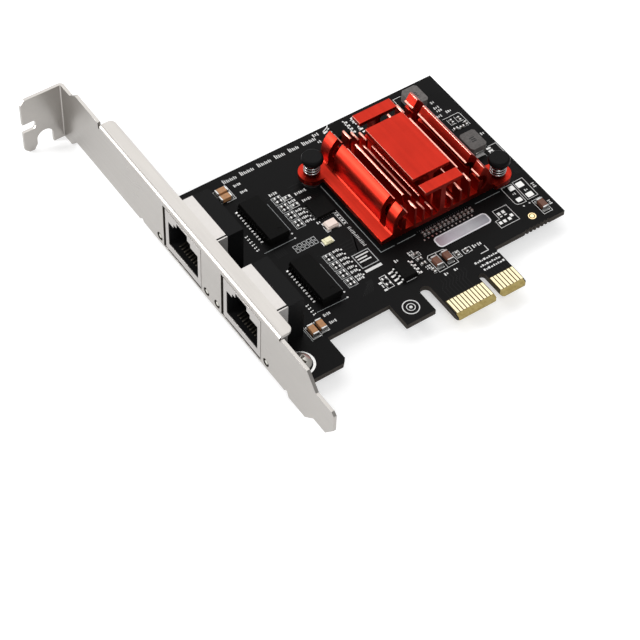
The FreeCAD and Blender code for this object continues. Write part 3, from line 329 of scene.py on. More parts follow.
MAT = {
    "bracket_steel": nickel_sheet(),
    "shield_tin": finish_material("shield_tin", (0.415, 0.397, 0.382), 0.32, 1.0, colour_var=0.05, grain=1500, grain_depth=3e-6, rough_var=0.06),
    "screw_steel": finish_material("screw_steel", (0.58, 0.56, 0.52), 0.36, 1.0, colour_var=0.06, grain=2500, grain_depth=3e-6, rough_var=0.06),
    "spring_steel": finish_material("spring_steel", (0.34, 0.34, 0.34), 0.22, 1.0, colour_var=0.05, grain=3000, grain_depth=2e-6, rough_var=0.05),
    "lead_tin": finish_material("lead_tin", (0.50, 0.495, 0.485), 0.32, 1.0, colour_var=0.08, grain=3500, grain_depth=4e-6, rough_var=0.08),
    "gold_plate": finish_material("gold_plate", (0.66, 0.575, 0.37), 0.32, 1.0, colour_var=0.05, grain=2600, grain_depth=3e-6, rough_var=0.06, stretch=(1, 0.15, 1)),
    "jack_black": finish_material("jack_black", (0.0056, 0.0056, 0.0058), 0.42, 0.0, 0.06, 0.12, grain=2200, grain_depth=6e-6),
    "package_black": finish_material("package_black", (0.0046, 0.0046, 0.0044), 0.52, 0.0, 0.045, 0.16, grain=3800, grain_depth=9e-6, rough_var=0.08),
    "nylon_black": finish_material("nylon_black", (0.0050, 0.0050, 0.0052), 0.36, 0.0, 0.05, 0.12, grain=1800, grain_depth=5e-6),
    "resistor_black": finish_material("resistor_black", (0.012, 0.012, 0.014), 0.35, 0.0, 0.3, 0.2, grain=4000, grain_depth=4e-6),
    "choke_grey": finish_material("choke_grey", (0.105, 0.098, 0.094), 0.60, 0.0, 0.3, 0.30, grain=2600, grain_depth=22e-6, patch=1400.0),
    "anodised_red": anodised("anodised_red", (0.36, 0.0190, 0.0102), 0.35),
    "lamp_clear": finish_material("lamp_clear", (0.62, 0.66, 0.56), 0.12, 0.0, 0.5, 0.06, grain=900, grain_depth=2e-6),
    "pad_grey": finish_material("pad_grey", (0.36, 0.38, 0.40), 0.75, 0.0, 0.3, 0.1, grain=2600, grain_depth=20e-6),
    "ceramic_cream": finish_material("ceramic_cream", (0.78, 0.66, 0.59), 0.42, 0.0, 0.5, 0.08, grain=2600, grain_depth=5e-6),
    "lamp_cream": finish_material("lamp_cream", (0.80, 0.76, 0.50), 0.30, 0.0, 0.5, 0.06, grain=2600, grain_depth=4e-6),
    "ceramic_tan": two_tone("ceramic_tan", (0.46, 0.225, 0.095), (0.135, 0.055, 0.033), 40.0, 0.42),
    "label_white": label_film(),
}
MASK = solder_mask()
SHADED_LEADS = lead_with_shaded_leg()
# Dark finish for the cut faces round the jack windows, and painted shade on the walls of the lamp bores.
DARK_CUT_AND_SHADE = finish_material("dark_cut_edge_and_painted_shade", (0.040, 0.034, 0.026), 0.55, 0.6, 0.2, colour_var=0.25, grain=2400, grain_depth=8e-6)
# Jack contacts far darker than their plating: painted shade for the dark inside of the jack mouths.
CONTACT_SHADED = finish_material("contact_painted_shade", (0.036, 0.032, 0.026), 0.36, 1.0, colour_var=0.10, grain=2600, grain_depth=3e-6)
# Duller, partly diffuse copy of the shield tin for the jacks' -Y side walls, so they catch light: painted light.
SHELL_SIDE_LIT = finish_material("shell_side_painted_light", (0.40, 0.39, 0.38), 0.48, 0.45, 0.5, colour_var=0.06, grain=1500, grain_depth=3e-6)
LAMP_BODY = finish_material("lamp_body", (0.012, 0.012, 0.012), 0.45, 0.0, 0.3, colour_var=0.1, grain=2600, grain_depth=3e-6)
LENS = finish_material("lamp_lens", (0.40, 0.39, 0.35), 0.22, 0.0, 0.6, colour_var=0.03, grain=900, grain_depth=2e-6)
SMALL_CHIP = finish_material("small_ceramic", (0.085, 0.072, 0.062), 0.42, 0.0, 0.4, colour_var=0.2, grain=3500, grain_depth=4e-6)
INK = printed_ink("screen_ink", (0.66, 0.66, 0.65))
MID_INK = printed_ink("box_ink", (0.42, 0.43, 0.43))
DIM_INK = printed_ink("thin_ink", (0.27, 0.29, 0.29))
RIM = finish_material("label_rim", (0.72, 0.71, 0.74), 0.35, 0.0, 0.5, colour_var=0.05, grain=2600, grain_depth=3e-6)
# Paler pink copy of the anodising for the heatsink's top edges: a painted highlight.
FIN_TIP_HIGHLIGHT = finish_material("fin_tip_painted_highlight", (0.80, 0.36, 0.29), 0.30, 1.0, colour_var=0.08, grain=2400, grain_depth=4e-6, rough_var=0.06, stretch=(1, 0.1, 1))
SOLDER = finish_material("solder_joint", (0.50, 0.50, 0.49), 0.26, 1.0, colour_var=0.08, grain=1600, grain_depth=10e-6, rough_var=0.1)
GOLD_PAD = finish_material("gold_pad", (0.85, 0.66, 0.36), 0.28, 1.0, colour_var=0.05, grain=2600, grain_depth=3e-6)
TRACE = finish_material("masked_copper", (0.0064, 0.0064, 0.0066), 0.36, 0.0, 0.07, 0.15, grain=1500, grain_depth=3e-6)

# ---------------------------------------------------------------------------
# helpers for meshes
# ---------------------------------------------------------------------------


def link(obj):
    bpy.context.scene.collection.objects.link(obj)
    return obj


def apply_modifiers(obj):
    dg = bpy.context.evaluated_depsgraph_get()
    dg.update()
    mesh = bpy.data.meshes.new_from_object(obj.evaluated_get(dg))
    old = obj.data
    obj.modifiers.clear()
    obj.data = mesh
    if old.users == 0:
        bpy.data.meshes.remove(old)
    return obj


def smooth_by_angle(obj, degrees=32.0):
    me = obj.data
    me.polygons.foreach_set("use_smooth", [True] * len(me.polygons))
    me.set_sharp_from_angle(angle=math.radians(degrees))
    me.update()


def as_piece(obj, material):
    obj.data.materials.clear()
    obj.data.materials.append(material)
    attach(obj, "root")
    return obj


def seam_cuts(bm, cuts):
    """Split faces along planes, so that no flat face keeps a hole inside it.  A cut is (axis, millimetres)."""
    layer = []
    for axis, value in cuts:
        co = P(*[value if a == axis else 0.0 for a in "xyz"])
        no = Vector([1.0 if a == axis else 0.0 for a in "xyz"])
        geom = bm.verts[:] + bm.edges[:] + bm.faces[:]
        res = bmesh.ops.bisect_plane(bm, geom=geom, dist=1e-8, plane_co=co, plane_no=no)
        layer += [g for g in res["geom_cut"] if isinstance(g, bmesh.types.BMEdge)]
    for e in layer:
        if e.is_valid:
            e.seam = True


def finish_edges(obj, width, segments=2, angle=28.0, sharp=38.0, clamp=False):
    """Round the sharp edges a little and shade the flats flat and the bends smooth."""
    mod = obj.modifiers.new("edge", "BEVEL")
    mod.width = width
    mod.segments = segments
    mod.limit_method = "ANGLE"
    mod.angle_limit = math.radians(angle)
    mod.use_clamp_overlap = clamp
    mod.miter_outer = "MITER_ARC"
    apply_modifiers(obj)
    smooth_by_angle(obj, sharp)
    mod = obj.modifiers.new("shade", "WEIGHTED_NORMAL")
    mod.mode = "FACE_AREA"
    mod.keep_sharp = True
    apply_modifiers(obj)
    return obj


def refined(node, width, segments=2, angle=28.0, dissolve=0.6, material=None, cuts=(), clamp=True):
    """The CAD node's own shape with its sharp edges broken by a small rounded bevel."""
    src = NODES[node]
    bm = bmesh.new()
    bm.from_mesh(src.data)
    bmesh.ops.remove_doubles(bm, verts=bm.verts, dist=2e-7)
    bmesh.ops.dissolve_degenerate(bm, edges=bm.edges, dist=1e-7)
    area = sum(f.calc_area() for f in bm.faces)
    seam_cuts(bm, cuts)
    bmesh.ops.dissolve_limit(bm, angle_limit=math.radians(dissolve), verts=bm.verts, edges=bm.edges, delimit={"SEAM"})
    me = bpy.data.meshes.new(node + "_shape")
    bm.to_mesh(me)
    bm.free()
    obj = link(bpy.data.objects.new(node + "_shape", me))
    finish_edges(obj, width, segments, angle, clamp=clamp)
    bm = bmesh.new()
    bm.from_mesh(obj.data)
    new_area = sum(f.calc_area() for f in bm.faces)
    loose = sum(1 for e in bm.edges if len(e.link_faces) != 2)
    bm.free()
    print("REFINED %-26s area %.3f -> %.3f cm2  open edges %d  faces %d" % (node, area * 1e4, new_area * 1e4, loose, len(obj.data.polygons)))
    as_piece(obj, material or MAT[SLOT_OF[node]])
    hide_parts(node)
    return obj


def boolean(obj, other, operation):
    mod = obj.modifiers.new("bool", "BOOLEAN")
    mod.operation = operation
    mod.solver = "EXACT"
    mod.object = other
    apply_modifiers(obj)
    me = other.data
    bpy.data.objects.remove(other)
    bpy.data.meshes.remove(me)
    return obj


def raw_object(name, bm):
    me = bpy.data.meshes.new(name)
    bmesh.ops.recalc_face_normals(bm, faces=bm.faces)
    bm.to_mesh(me)
    bm.free()
    return link(bpy.data.objects.new(name, me))


def add_box(bm, x0, y0, z0, x1, y1, z1):
    vs = [bm.verts.new(P(x, y, z)) for z in (z0, z1) for x, y in ((x0, y0), (x1, y0), (x1, y1), (x0, y1))]
    for q in ((3, 2, 1, 0), (4, 5, 6, 7), (0, 1, 5, 4), (1, 2, 6, 5), (2, 3, 7, 6), (3, 0, 4, 7)):
        bm.faces.new([vs[i] for i in q])


def arc_points(a, m, b, step=0.3, least=3):
    """Points after a, up to and with b, on the circle through a, m and b."""
    ax, ay = a
    bx, by = b
    mx, my = m
    d = 2.0 * (ax * (my - by) + mx * (by - ay) + bx * (ay - my))
    ux = ((ax * ax + ay * ay) * (my - by) + (mx * mx + my * my) * (by - ay) + (bx * bx + by * by) * (ay - my)) / d
    uy = ((ax * ax + ay * ay) * (bx - mx) + (mx * mx + my * my) * (ax - bx) + (bx * bx + by * by) * (mx - ax)) / d
    r = math.hypot(ax - ux, ay - uy)
    t0 = math.atan2(ay - uy, ax - ux)
    tm = math.atan2(my - uy, mx - ux)
    t1 = math.atan2(by - uy, bx - ux)

    def span(u, w):
        return (w - u) % (2.0 * math.pi)
    total = span(t0, t1)
    if span(t0, tm) > total:
        total -= 2.0 * math.pi
    n = max(least, int(abs(total) * r / step))
    return [(ux + r * math.cos(t0 + total * k / n), uy + r * math.sin(t0 + total * k / n)) for k in range(1, n)] + [(bx, by)]


def mesh_object(name, bm, material, smooth=None):
    me = bpy.data.meshes.new(name)
    bmesh.ops.recalc_face_normals(bm, faces=bm.faces)
    bm.to_mesh(me)
    bm.free()
    obj = link(bpy.data.objects.new(name, me))
    if smooth:
        smooth_by_angle(obj, smooth)
    return as_piece(obj, material)


def add_prism(bm, points, z0, z1, chamfer=0.0):
    """Closed prism over a polygon given in working millimetres; an optional chamfer slopes its rim in."""
    area = 0.0
    n = len(points)
    for i in range(n):
        area += points[i - 1][0] * points[i][1] - points[i][0] * points[i - 1][1]
    if area < 0:
        points = points[::-1]
    lo = [bm.verts.new(P(x, y, z0)) for x, y in points]
    if chamfer > 0:
        cx = sum(p[0] for p in points) / n
        cy = sum(p[1] for p in points) / n
        inner = []
        for x, y in points:
            d = math.hypot(x - cx, y - cy) or 1.0
            k = max(0.0, (d - chamfer) / d)
            inner.append((cx + (x - cx) * k, cy + (y - cy) * k))
        hi = [bm.verts.new(P(x, y, z1)) for x, y in inner]
    else:
        hi = [bm.verts.new(P(x, y, z1)) for x, y in points]
    flip = z1 < z0
    faces = [lo[::-1], hi] if not flip else [lo, hi[::-1]]
    for f in faces:
        bm.faces.new(f)
    for i in range(n):
        j = (i + 1) % n
        q = [lo[i], lo[j], hi[j], hi[i]]
        bm.faces.new(q if not flip else q[::-1])


def rect_pts(x0, y0, x1, y1):
    return [(x0, y0), (x1, y0), (x1, y1), (x0, y1)]


def round_rect(x0, y0, x1, y1, r, n=4):
    pts = []
    for cx, cy, a0 in ((x1 - r, y0 + r, -90), (x1 - r, y1 - r, 0), (x0 + r, y1 - r, 90), (x0 + r, y0 + r, 180)):
        for k in range(n + 1):
            a = math.radians(a0 + 90.0 * k / n)
            pts.append((cx + r * math.cos(a), cy + r * math.sin(a)))
    return pts


def disc(x, y, r, n=20):
    return [(x + r * math.cos(2 * math.pi * k / n), y + r * math.sin(2 * math.pi * k / n)) for k in range(n)]


def add_ring(bm, x, y, r0, r1, z0, z1, n=40):
    rows = []
    for r, z in ((r0, z0), (r1, z0), (r1, z1), (r0, z1)):
        rows.append([bm.verts.new(P(x + r * math.cos(2 * math.pi * k / n), y + r * math.sin(2 * math.pi * k / n), z)) for k in range(n)])
    for a in range(4):
        b = (a + 1) % 4
        for k in range(n):
            j = (k + 1) % n
            bm.faces.new([rows[a][k], rows[a][j], rows[b][j], rows[b][k]])


def add_line(bm, path, width, z0, z1, closed=False):
    """Flat ribbon of constant width along a path, as one closed prism with mitred corners."""
    n = len(path)
    left, right = [], []
    for i in range(n):
        a = path[i - 1] if (i > 0 or closed) else None
        c = path[(i + 1) % n] if (i < n - 1 or closed) else None
        b = path[i]
        dirs = []
        if a is not None:
            d = Vector((b[0] - a[0], b[1] - a[1]))
            dirs.append(d.normalized())
        if c is not None:
            d = Vector((c[0] - b[0], c[1] - b[1]))
            dirs.append(d.normalized())
        if len(dirs) == 2:
            t = (dirs[0] + dirs[1])
            t = t.normalized() if t.length > 1e-6 else dirs[0]
            nrm = Vector((-t.y, t.x))
            k = max(0.35, nrm.dot(Vector((-dirs[0].y, dirs[0].x))))
            off = nrm * (width / 2.0 / k)
        else:
            t = dirs[0]
            off = Vector((-t.y, t.x)) * (width / 2.0)
        left.append((b[0] + off.x, b[1] + off.y))
        right.append((b[0] - off.x, b[1] - off.y))
    L0 = [bm.verts.new(P(x, y, z0)) for x, y in left]
    R0 = [bm.verts.new(P(x, y, z0)) for x, y in right]
    L1 = [bm.verts.new(P(x, y, z1)) for x, y in left]
    R1 = [bm.verts.new(P(x, y, z1)) for x, y in right]
    last = n if closed else n - 1
    for i in range(last):
        j = (i + 1) % n
        bm.faces.new([L1[i], R1[i], R1[j], L1[j]])
        bm.faces.new([L0[i], L0[j], R0[j], R0[i]])
        bm.faces.new([L0[i], L1[i], L1[j], L0[j]])
        bm.faces.new([R0[i], R0[j], R1[j], R1[i]])
    if not closed:
        bm.faces.new([L0[0], R0[0], R1[0], L1[0]])
        bm.faces.new([L0[-1], L1[-1], R1[-1], R0[-1]])


def add_lathe(bm, x, y, profile, n=24):
    """Closed solid of revolution about a vertical axis.  profile runs (r, z) and ends on the axis at both ends."""
    rings = []
    for r, z in profile:
        if r < 1e-6:
            rings.append([bm.verts.new(P(x, y, z))])
        else:
            rings.append([bm.verts.new(P(x + r * math.cos(2 * math.pi * k / n), y + r * math.sin(2 * math.pi * k / n), z)) for k in range(n)])
    for a, b in zip(rings, rings[1:]):
        for k in range(n):
            j = (k + 1) % n
            if len(a) == 1 and len(b) == 1:
                continue
            if len(a) == 1:
                bm.faces.new([a[0], b[j], b[k]])
            elif len(b) == 1:
                bm.faces.new([a[k], a[j], b[0]])
            else:
                bm.faces.new([a[k], a[j], b[j], b[k]])


# ---------------------------------------------------------------------------
# carried-over nodes and refined shapes
# ---------------------------------------------------------------------------

for name, node in NODES.items():
    node.data.materials.clear()
    node.data.materials.append(MASK if name == "circuit_board" else SHADED_LEADS if name.startswith("magnetics_leads") else MAT[SLOT_OF[name]])

JACK = {"a": 0.0, "b": -25.4}
REFINE = {
    "bracket": (0.00007, 2, [("z", 7.0), ("z", 0.62), ("x", 6.75)]),
    "magnetics_a": (0.00013, 2, [("x", 24.65)]), "magnetics_b": (0.00013, 2, [("x", 24.65)]),
    "memory_chip": (0.00007, 2, [("x", 42.15)]), "driver_chip": (0.00007, 2, [("x", 55.5)]),
    "regulator_chip": (0.00006, 2, []), "controller_chip": (0.00008, 2, []),
    "power_chokes": (0.00006, 2, []), "push_pins": (0.00010, 2, []), "bracket_screws": (0.00007, 2, []), "crystal": (0.00007, 2, []),
    "status_lamp": (0.00006, 2, []), "ceramic_capacitors": (0.00006, 1, []), "ceramic_capacitors_ends": (0.00008, 2, []),
    "chip_resistors": (0.00004, 1, []), "chip_resistors_ends": (0.00005, 1, []), "small_capacitors": (0.00004, 1, []),
    "small_capacitors_ends": (0.00005, 1, []), "choke_terminals": (0.00005, 1, []),
    "jack_contacts_a": (0.00005, 1, []), "jack_contacts_b": (0.00005, 1, []), "link_lamps": (0.00006, 2, []),
}
for tag, dy in JACK.items():
    REFINE["jack_shell_" + tag] = (0.00004, 2, [("z", 5.0), ("x", 6.95), ("x", 0.9)])
    REFINE["jack_housing_" + tag] = (0.00010, 2, [("z", 5.0), ("x", 10.75), ("x", 9.15), ("x", 10.0)])
SHAPES = {}
for name, (w, seg, cuts) in REFINE.items():
    alone = {"jack_contacts_a": CONTACT_SHADED, "jack_contacts_b": CONTACT_SHADED, "link_lamps": LAMP_BODY, "small_capacitors": SMALL_CHIP}
    SHAPES[name] = refined(name, w, seg, cuts=cuts, material=alone.get(name))


def paint(obj, material, test):
    """Give the faces that pass the test a second finish.  The test gets the face's normal and its centre in millimetres."""
    obj.data.materials.append(material)
    k = len(obj.data.materials) - 1
    for f in obj.data.polygons:
        c = f.center * 1000.0 + SHIFT
        if test(f.normal, c):
            f.material_index = k


def in_window(n, c):
    if not (0.0 < c.x < 0.87 and -0.9 < c.z < 13.7):
        return False
    for y0, y1 in ((41.38, 58.10), (15.98, 32.70)):
        if abs(n.y) > 0.6 and (abs(c.y - y0) < 0.1 or abs(c.y - y1) < 0.1):
            return True
    for yc in (59.95, 39.10, 34.55, 13.70):
        if math.hypot(c.y - yc, c.z - 0.62) < 1.22 and abs(n.x) < 0.6:
            return True
    return False


# Window cut faces take the dark finish; the lamp-bore walls take it as painted shade.
paint(SHAPES["bracket"], DARK_CUT_AND_SHADE, in_window)
# The -Y side walls of the shells take the lit copy of the tin: painted light.
for tag in JACK:
    paint(SHAPES["jack_shell_" + tag], SHELL_SIDE_LIT, lambda n, c: n.y < -0.7 and c.x > 0.5)
paint(SHAPES["link_lamps"], LENS, lambda n, c: c.x < 1.44 or c.z > 0.6)

# ---------------------------------------------------------------------------
# heatsink: one extrusion, sawn across twice
# ---------------------------------------------------------------------------

CX, CY = 60.45, 42.55


def heatsink():
    hx, zu, zb, top = 18.05, 1.9, 3.4, 13.1
    half = [
        (hx, zu), (hx, zu + 1.1), (hx - 0.35, zu + 1.42, (hx - 0.08, zu + 1.34)),
        (15.75, 3.6), (14.72, 4.9, (15.02, 3.98)), (14.5, 8.1, (14.74, 6.6)), (13.75, 9.85, (14.23, 9.0)),
        (12.35, 11.55, (13.12, 10.76)), (12.05, 11.45, (12.2, 11.62)), (10.95, 9.405), (10.60, 9.36), (10.56, 8.98),
        (12.2, 8.75, (11.45, 9.05)), (13.4, 6.9, (13.15, 8.0)), (12.6, 4.25, (13.25, 5.4)),
        (12.15, 4.25, (12.38, 4.1)), (12.25, 6.6), (11.7, 7.5, (12.15, 7.3)), (10.9, 7.2, (11.2, 7.55)), (10.85, zb),
    ]
    for a, b, z in ((8.5, 7.8, 9.4), (5.95, 5.3, 7.55), (3.35, 2.7, 5.95)):
        half += [(a, zb), (a, z - 0.2), (a - 0.2, z), (b + 0.2, z), (b, z - 0.2), (b, zb)]
    half += [(1.3, zb), (1.3, 3.9), (0.75, 3.9), (0.75, top - 1.5), (1.15, top - 1.1), (5.6, top - 1.1), (5.6, top)]
    pts = [half[0]]
    for p in half[1:]:
        if len(p) == 3:
            pts += arc_points(pts[-1], p[2], (p[0], p[1]))
        else:
            pts.append(p)
    loop = pts + [(-o, z) for o, z in reversed(pts)]
    y0, y1 = CY - 15.35, CY + 15.35
    bm = bmesh.new()
    a = [bm.verts.new(P(CX + o, y0, z)) for o, z in loop]
    b = [bm.verts.new(P(CX + o, y1, z)) for o, z in loop]
    bm.faces.new(a)
    bm.faces.new(b[::-1])
    for i in range(len(loop)):
        j = (i + 1) % len(loop)
        bm.faces.new([a[i], b[i], b[j], a[j]])
    obj = raw_object("heatsink_shape", bm)
    for sx in (-1.0, 1.0):
        lx, ly = CX + sx * 19.15, CY - sx * 12.75
        e = CX + sx * 16.05
        ring = [(e, ly - 3.5)] + [(lx + sx * 3.5 * math.sin(math.pi * k / 24.0), ly - 3.5 * math.cos(math.pi * k / 24.0)) for k in range(25)] + [(e, ly + 3.5)]
        bm = bmesh.new()
        add_prism(bm, ring, zu, zb)
        boolean(obj, raw_object("lug", bm), "UNION")
        bm = bmesh.new()
        add_prism(bm, disc(lx, ly, 1.65, 32), 0.0, 6.0)
        boolean(obj, raw_object("bore", bm), "DIFFERENCE")
    for yc in (CY - 11.2, CY + 10.95):
        bm = bmesh.new()
        add_box(bm, CX - 22.0, yc - 1.1, 3.9, CX + 22.0, yc + 1.1, 16.0)
        boolean(obj, raw_object("saw", bm), "DIFFERENCE")
    bm = bmesh.new()
    bm.from_mesh(obj.data)
    bmesh.ops.remove_doubles(bm, verts=bm.verts, dist=2e-7)
    seam_cuts(bm, [("x", CX - 19.15), ("x", CX + 19.15)])
    bmesh.ops.dissolve_limit(bm, angle_limit=math.radians(0.5), verts=bm.verts, edges=bm.edges, delimit={"SEAM"})
    bm.to_mesh(obj.data)
    bm.free()
    finish_edges(obj, 0.00007, 2, 30.0, 36.0)
    me = obj.data
    me.materials.clear()
    me.materials.append(MAT["anodised_red"])
    me.materials.append(FIN_TIP_HIGHLIGHT)
    # Fin tops, the barrel rim, the inner lip and the cap's edge take the paler finish: painted highlight for the bright
    # lines the lamps draw along these edges.
    o0 = P(CX, 0, 0).x
    for f in me.polygons:
        o = abs(f.center.x - o0) * 1000.0
        z = f.center.z * 1000.0 + SHIFT.z
        up = f.normal.z
        side = abs(f.normal.x)
        tip = False
        for lo, hi, zt in ((7.75, 8.55, 9.17), (5.25, 6.0, 7.32), (2.65, 3.4, 5.72)):
            tip = tip or (lo < o < hi and z > zt and up > 0.2)
        tip = tip or (11.9 < o < 12.19 and z > 11.33 and up > 0.1)
        tip = tip or (10.5 < o < 11.0 and 8.9 < z < 9.45 and up > 0.1)
        tip = tip or (5.45 < o < 5.7 and z > 12.95 and side > 0.2 and up > 0.2)
        if tip:
            f.material_index = 1
    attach(obj, "root")
    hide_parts("heatsink")
    bm = bmesh.new()
    bm.from_mesh(me)
    print("HEATSINK open edges", sum(1 for e in bm.edges if len(e.link_faces) != 2), "faces", len(me.polygons))
    bm.free()


heatsink()


# ---------------------------------------------------------------------------
# board surface: plated pads, solder, screen print, vias, copper under mask
# ---------------------------------------------------------------------------

INK_Z = (-0.004, 0.016)
PAD_Z = (-0.004, 0.022)


def flat(bm, pts, zs, under=False):
    """Closed thin plate on the top face of the board, or on its underside."""
    if under:
        add_prism(bm, pts, UNDER - zs[0], UNDER - zs[1])
    else:
        add_prism(bm, pts, zs[0], zs[1])


def bar(bm, x0, y0, x1, y1, zs=INK_Z, under=False):
    flat(bm, rect_pts(min(x0, x1), min(y0, y1), max(x0, x1), max(y0, y1)), zs, under)


def outline(bm, x0, y0, x1, y1, w=0.14, zs=INK_Z):
    add_line(bm, [(x0, y0), (x1, y0), (x1, y1), (x0, y1)], w, zs[0], zs[1], closed=True)


def stroke(bm, path, w=0.15, zs=INK_Z):
    add_line(bm, path, w, zs[0], zs[1])


TICKS = ((1.0, 0.30), (0.62, 0.22), (1.0, 0.22), (0.78, 0.34), (0.55, 0.22))


def marks(bm, x, y, n, along="x", size=0.85, pitch=0.52, phase=0, under=False):
    """A short row of plain upright ticks, where a real board prints a part's index."""
    for i in range(n):
        h, w = TICKS[(i + phase) % len(TICKS)]
        c = (i - (n - 1) / 2.0) * pitch
        hh, ww = size * h / 2.0, w / 2.0 + 0.03
        if along == "x":
            bar(bm, x + c - ww, y - hh, x + c + ww, y + hh, under=under)
        else:
            bar(bm, x - hh, y + c - ww, x + hh, y + c + ww, under=under)


def silk_screen():
    ink = bmesh.new()
    boxes = bmesh.new()
    # Two groups of four boxed resistor pairs beside the magnetics.
    for rows in (((55.6, 53.0), (52.5, 50.0), (49.5, 47.0), (46.55, 43.95)), ((33.4, 30.85), (30.4, 27.8), (27.35, 24.9), (24.4, 21.75))):
        for y1, y0 in rows:
            outline(boxes, 29.35, y0, 31.85, y1, 0.15)
    marks(ink, 30.7, 56.75, 4, "x", 0.95, 0.58)
    for y in (48.99, 47.67, 46.23, 44.8):
        marks(ink, 33.2, y, 4, "x", 0.85, 0.50, int(y) % 5)
    marks(ink, 33.3, 52.25, 4, "x", 0.85, 0.52)
    outline(ink, 32.0, 53.2, 34.1, 54.5, 0.15)
    outline(ink, 32.2, 50.15, 34.3, 51.4, 0.15)
    marks(ink, 36.8, 53.7, 6, "x", 0.85, 0.55)
    marks(ink, 36.8, 50.85, 5, "x", 0.85, 0.55, 2)
    for y in (33.15, 31.6, 30.05, 28.6, 26.95, 25.5, 23.8, 22.8):
        marks(ink, 33.3, y, 4, "x", 0.85, 0.50, int(y) % 5)
    # Outline lines and index dots of the magnetics.
    thin = bmesh.new()
    stroke(thin, [(27.75, 54.8), (27.75, 44.6)], 0.13)
    stroke(thin, [(18.3, 41.85), (27.0, 41.85)], 0.15)
    stroke(thin, [(27.7, 31.9), (27.7, 22.3)], 0.13)
    stroke(thin, [(18.6, 19.85), (27.1, 19.6)], 0.15)
    for x, y in ((27.5, 43.5), (27.3, 41.9), (27.6, 21.5), (27.3, 19.7)):
        flat(ink, disc(x, y, 0.26, 14), INK_Z)
    # Frame around the heatsink.
    stroke(thin, [(42.15, 52.6), (42.15, 26.75), (46.1, 26.75)], 0.17)
    stroke(thin, [(46.9, 26.75), (52.4, 26.75)], 0.17)
    stroke(thin, [(70.6, 26.75), (78.3, 26.75)], 0.15)
    # Column of index ticks left of the heatsink, in a round-ended frame.
    stroke(ink, [(39.75, 38.8), (39.75, 43.9), (39.95, 44.2), (40.5, 44.2), (40.7, 43.9), (40.7, 38.8)], 0.12)
    for k in range(5):
        bar(ink, 39.98, 39.1 + 0.98 * k, 40.46, 39.1 + 0.98 * k + (0.62 if k % 2 else 0.42))
    for k in range(8):
        y = 37.4 - 0.92 * k
        bar(ink, 39.78, y - 0.28, 40.62, y - 0.12)
        bar(ink, 39.78, y + 0.14, 40.62 - 0.25 * (k % 2), y + 0.30)
    # Plain ring on the hook of the board.
    add_ring(ink, 38.15, 9.0, 1.92, 2.18, INK_Z[0], INK_Z[1], 48)
    add_ring(ink, 38.15, 9.0, 0.95, 1.15, INK_Z[0], INK_Z[1], 32)
    flat(ink, disc(38.15, 9.0, 0.42, 20), INK_Z)
    # Date grid: plain squares in two rows.
    for i in range(5):
        for j in range(2):
            cx, cy = 25.6 + 1.32 * i, 38.1 + 1.32 * j
            outline(boxes, cx - 0.46, cy - 0.46, cx + 0.46, cy + 0.46, 0.16)
    # Boxed bar field where the board carries printed notices.
    outline(boxes, 35.45, 25.0, 40.15, 29.6, 0.20)
    for k, (a, b) in enumerate(((35.95, 39.65), (35.95, 38.7), (35.95, 39.3))):
        bar(ink, a, 28.55 - 0.95 * k, b, 28.95 - 0.95 * k)
    bar(ink, 35.4, 23.35, 40.2, 24.2)
    # Capacitor bracket near the top edge.
    stroke(ink, [(18.1, 65.15), (22.5, 65.15), (22.5, 60.6), (19.8, 60.6)], 0.15)
    marks(ink, 25.0, 64.2, 4, "x", 0.85, 0.50)
    marks(ink, 25.2, 61.5, 4, "x", 0.85, 0.50, 2)
    marks(ink, 16.2, 65.1, 5, "x", 0.85, 0.52)
    # Top edge: a plain scale of short bars.
    x = 22.6
    for g in (4, 4, 4, 3, 3, 4):
        for i in range(g):
            h = 1.35 if i == 0 else 0.95
            bar(ink, x - 0.14, 66.1, x + 0.14, 66.1 + h)
            bar(ink, x + 0.34, 66.1, x + 0.60, 66.1 + 0.8 * h)
            x += 1.02
        x += 1.1
    marks(ink, 50.9, 67.6, 3, "x", 1.05, 0.62)
    marks(ink, 50.4, 65.1, 2, "x", 0.95, 0.58, 1)
    stroke(ink, [(53.1, 67.4), (54.9, 68.2), (55.35, 68.85)], 0.30)
    # Driver chip and far top edge.
    stroke(ink, [(54.4, 61.9), (58.8, 61.9)], 0.14)
    marks(ink, 61.6, 66.4, 3, "y", 0.85, 0.55)
    marks(ink, 61.6, 63.4, 3, "y", 0.85, 0.55, 2)
    for y in (66.9, 65.6):
        marks(ink, 73.3, y, 3, "x", 0.85, 0.55)
    stroke(ink, [(74.6, 59.3), (74.6, 66.9), (77.0, 66.9)], 0.14)
    marks(ink, 82.5, 60.6, 2, "x", 0.9, 0.60)
    for i, y in enumerate((58.6, 57.4)):
        marks(ink, 82.3, y, 3, "x", 0.85, 0.58, i)
    # Plain bars on the tops of the chokes.
    top = bmesh.new()
    for x, y in ((78.5, 63.0), (81.55, 42.4)):
        for k in (-1, 0, 1):
            add_prism(top, rect_pts(x - 0.75 + 0.2 * (k == 0), y + 0.62 * k - 0.17, x + 0.75, y + 0.62 * k + 0.17), 2.985, 3.014)
    mesh_object("choke_bars", top, LAMP_BODY)
    # Cluster round the lower choke.
    for x0, y0, x1, y1 in ((84.05, 51.4, 85.65, 53.5), (81.85, 51.4, 83.35, 53.5)):
        stroke(ink, [(x0, y1), (x0, y0), (x1, y0)], 0.14)
    stroke(ink, [(81.0, 54.2), (85.9, 54.2), (86.2, 53.8), (86.2, 49.2)], 0.13)
    marks(ink, 81.1, 55.7, 3, "x", 0.9, 0.58)
    marks(ink, 84.2, 55.9, 3, "x", 0.9, 0.58, 2)
    marks(ink, 86.7, 44.9, 2, "x", 0.95, 0.62)
    stroke(ink, [(85.1, 40.5), (87.55, 40.5), (87.55, 35.2)], 0.14)
    stroke(thin, [(83.0, 37.9), (83.0, 39.9), (85.0, 41.0)], 0.13)
    for yy in (39.9, 39.1, 38.3):
        marks(ink, 84.9, yy, 3, "x", 0.55, 0.55, int(yy))
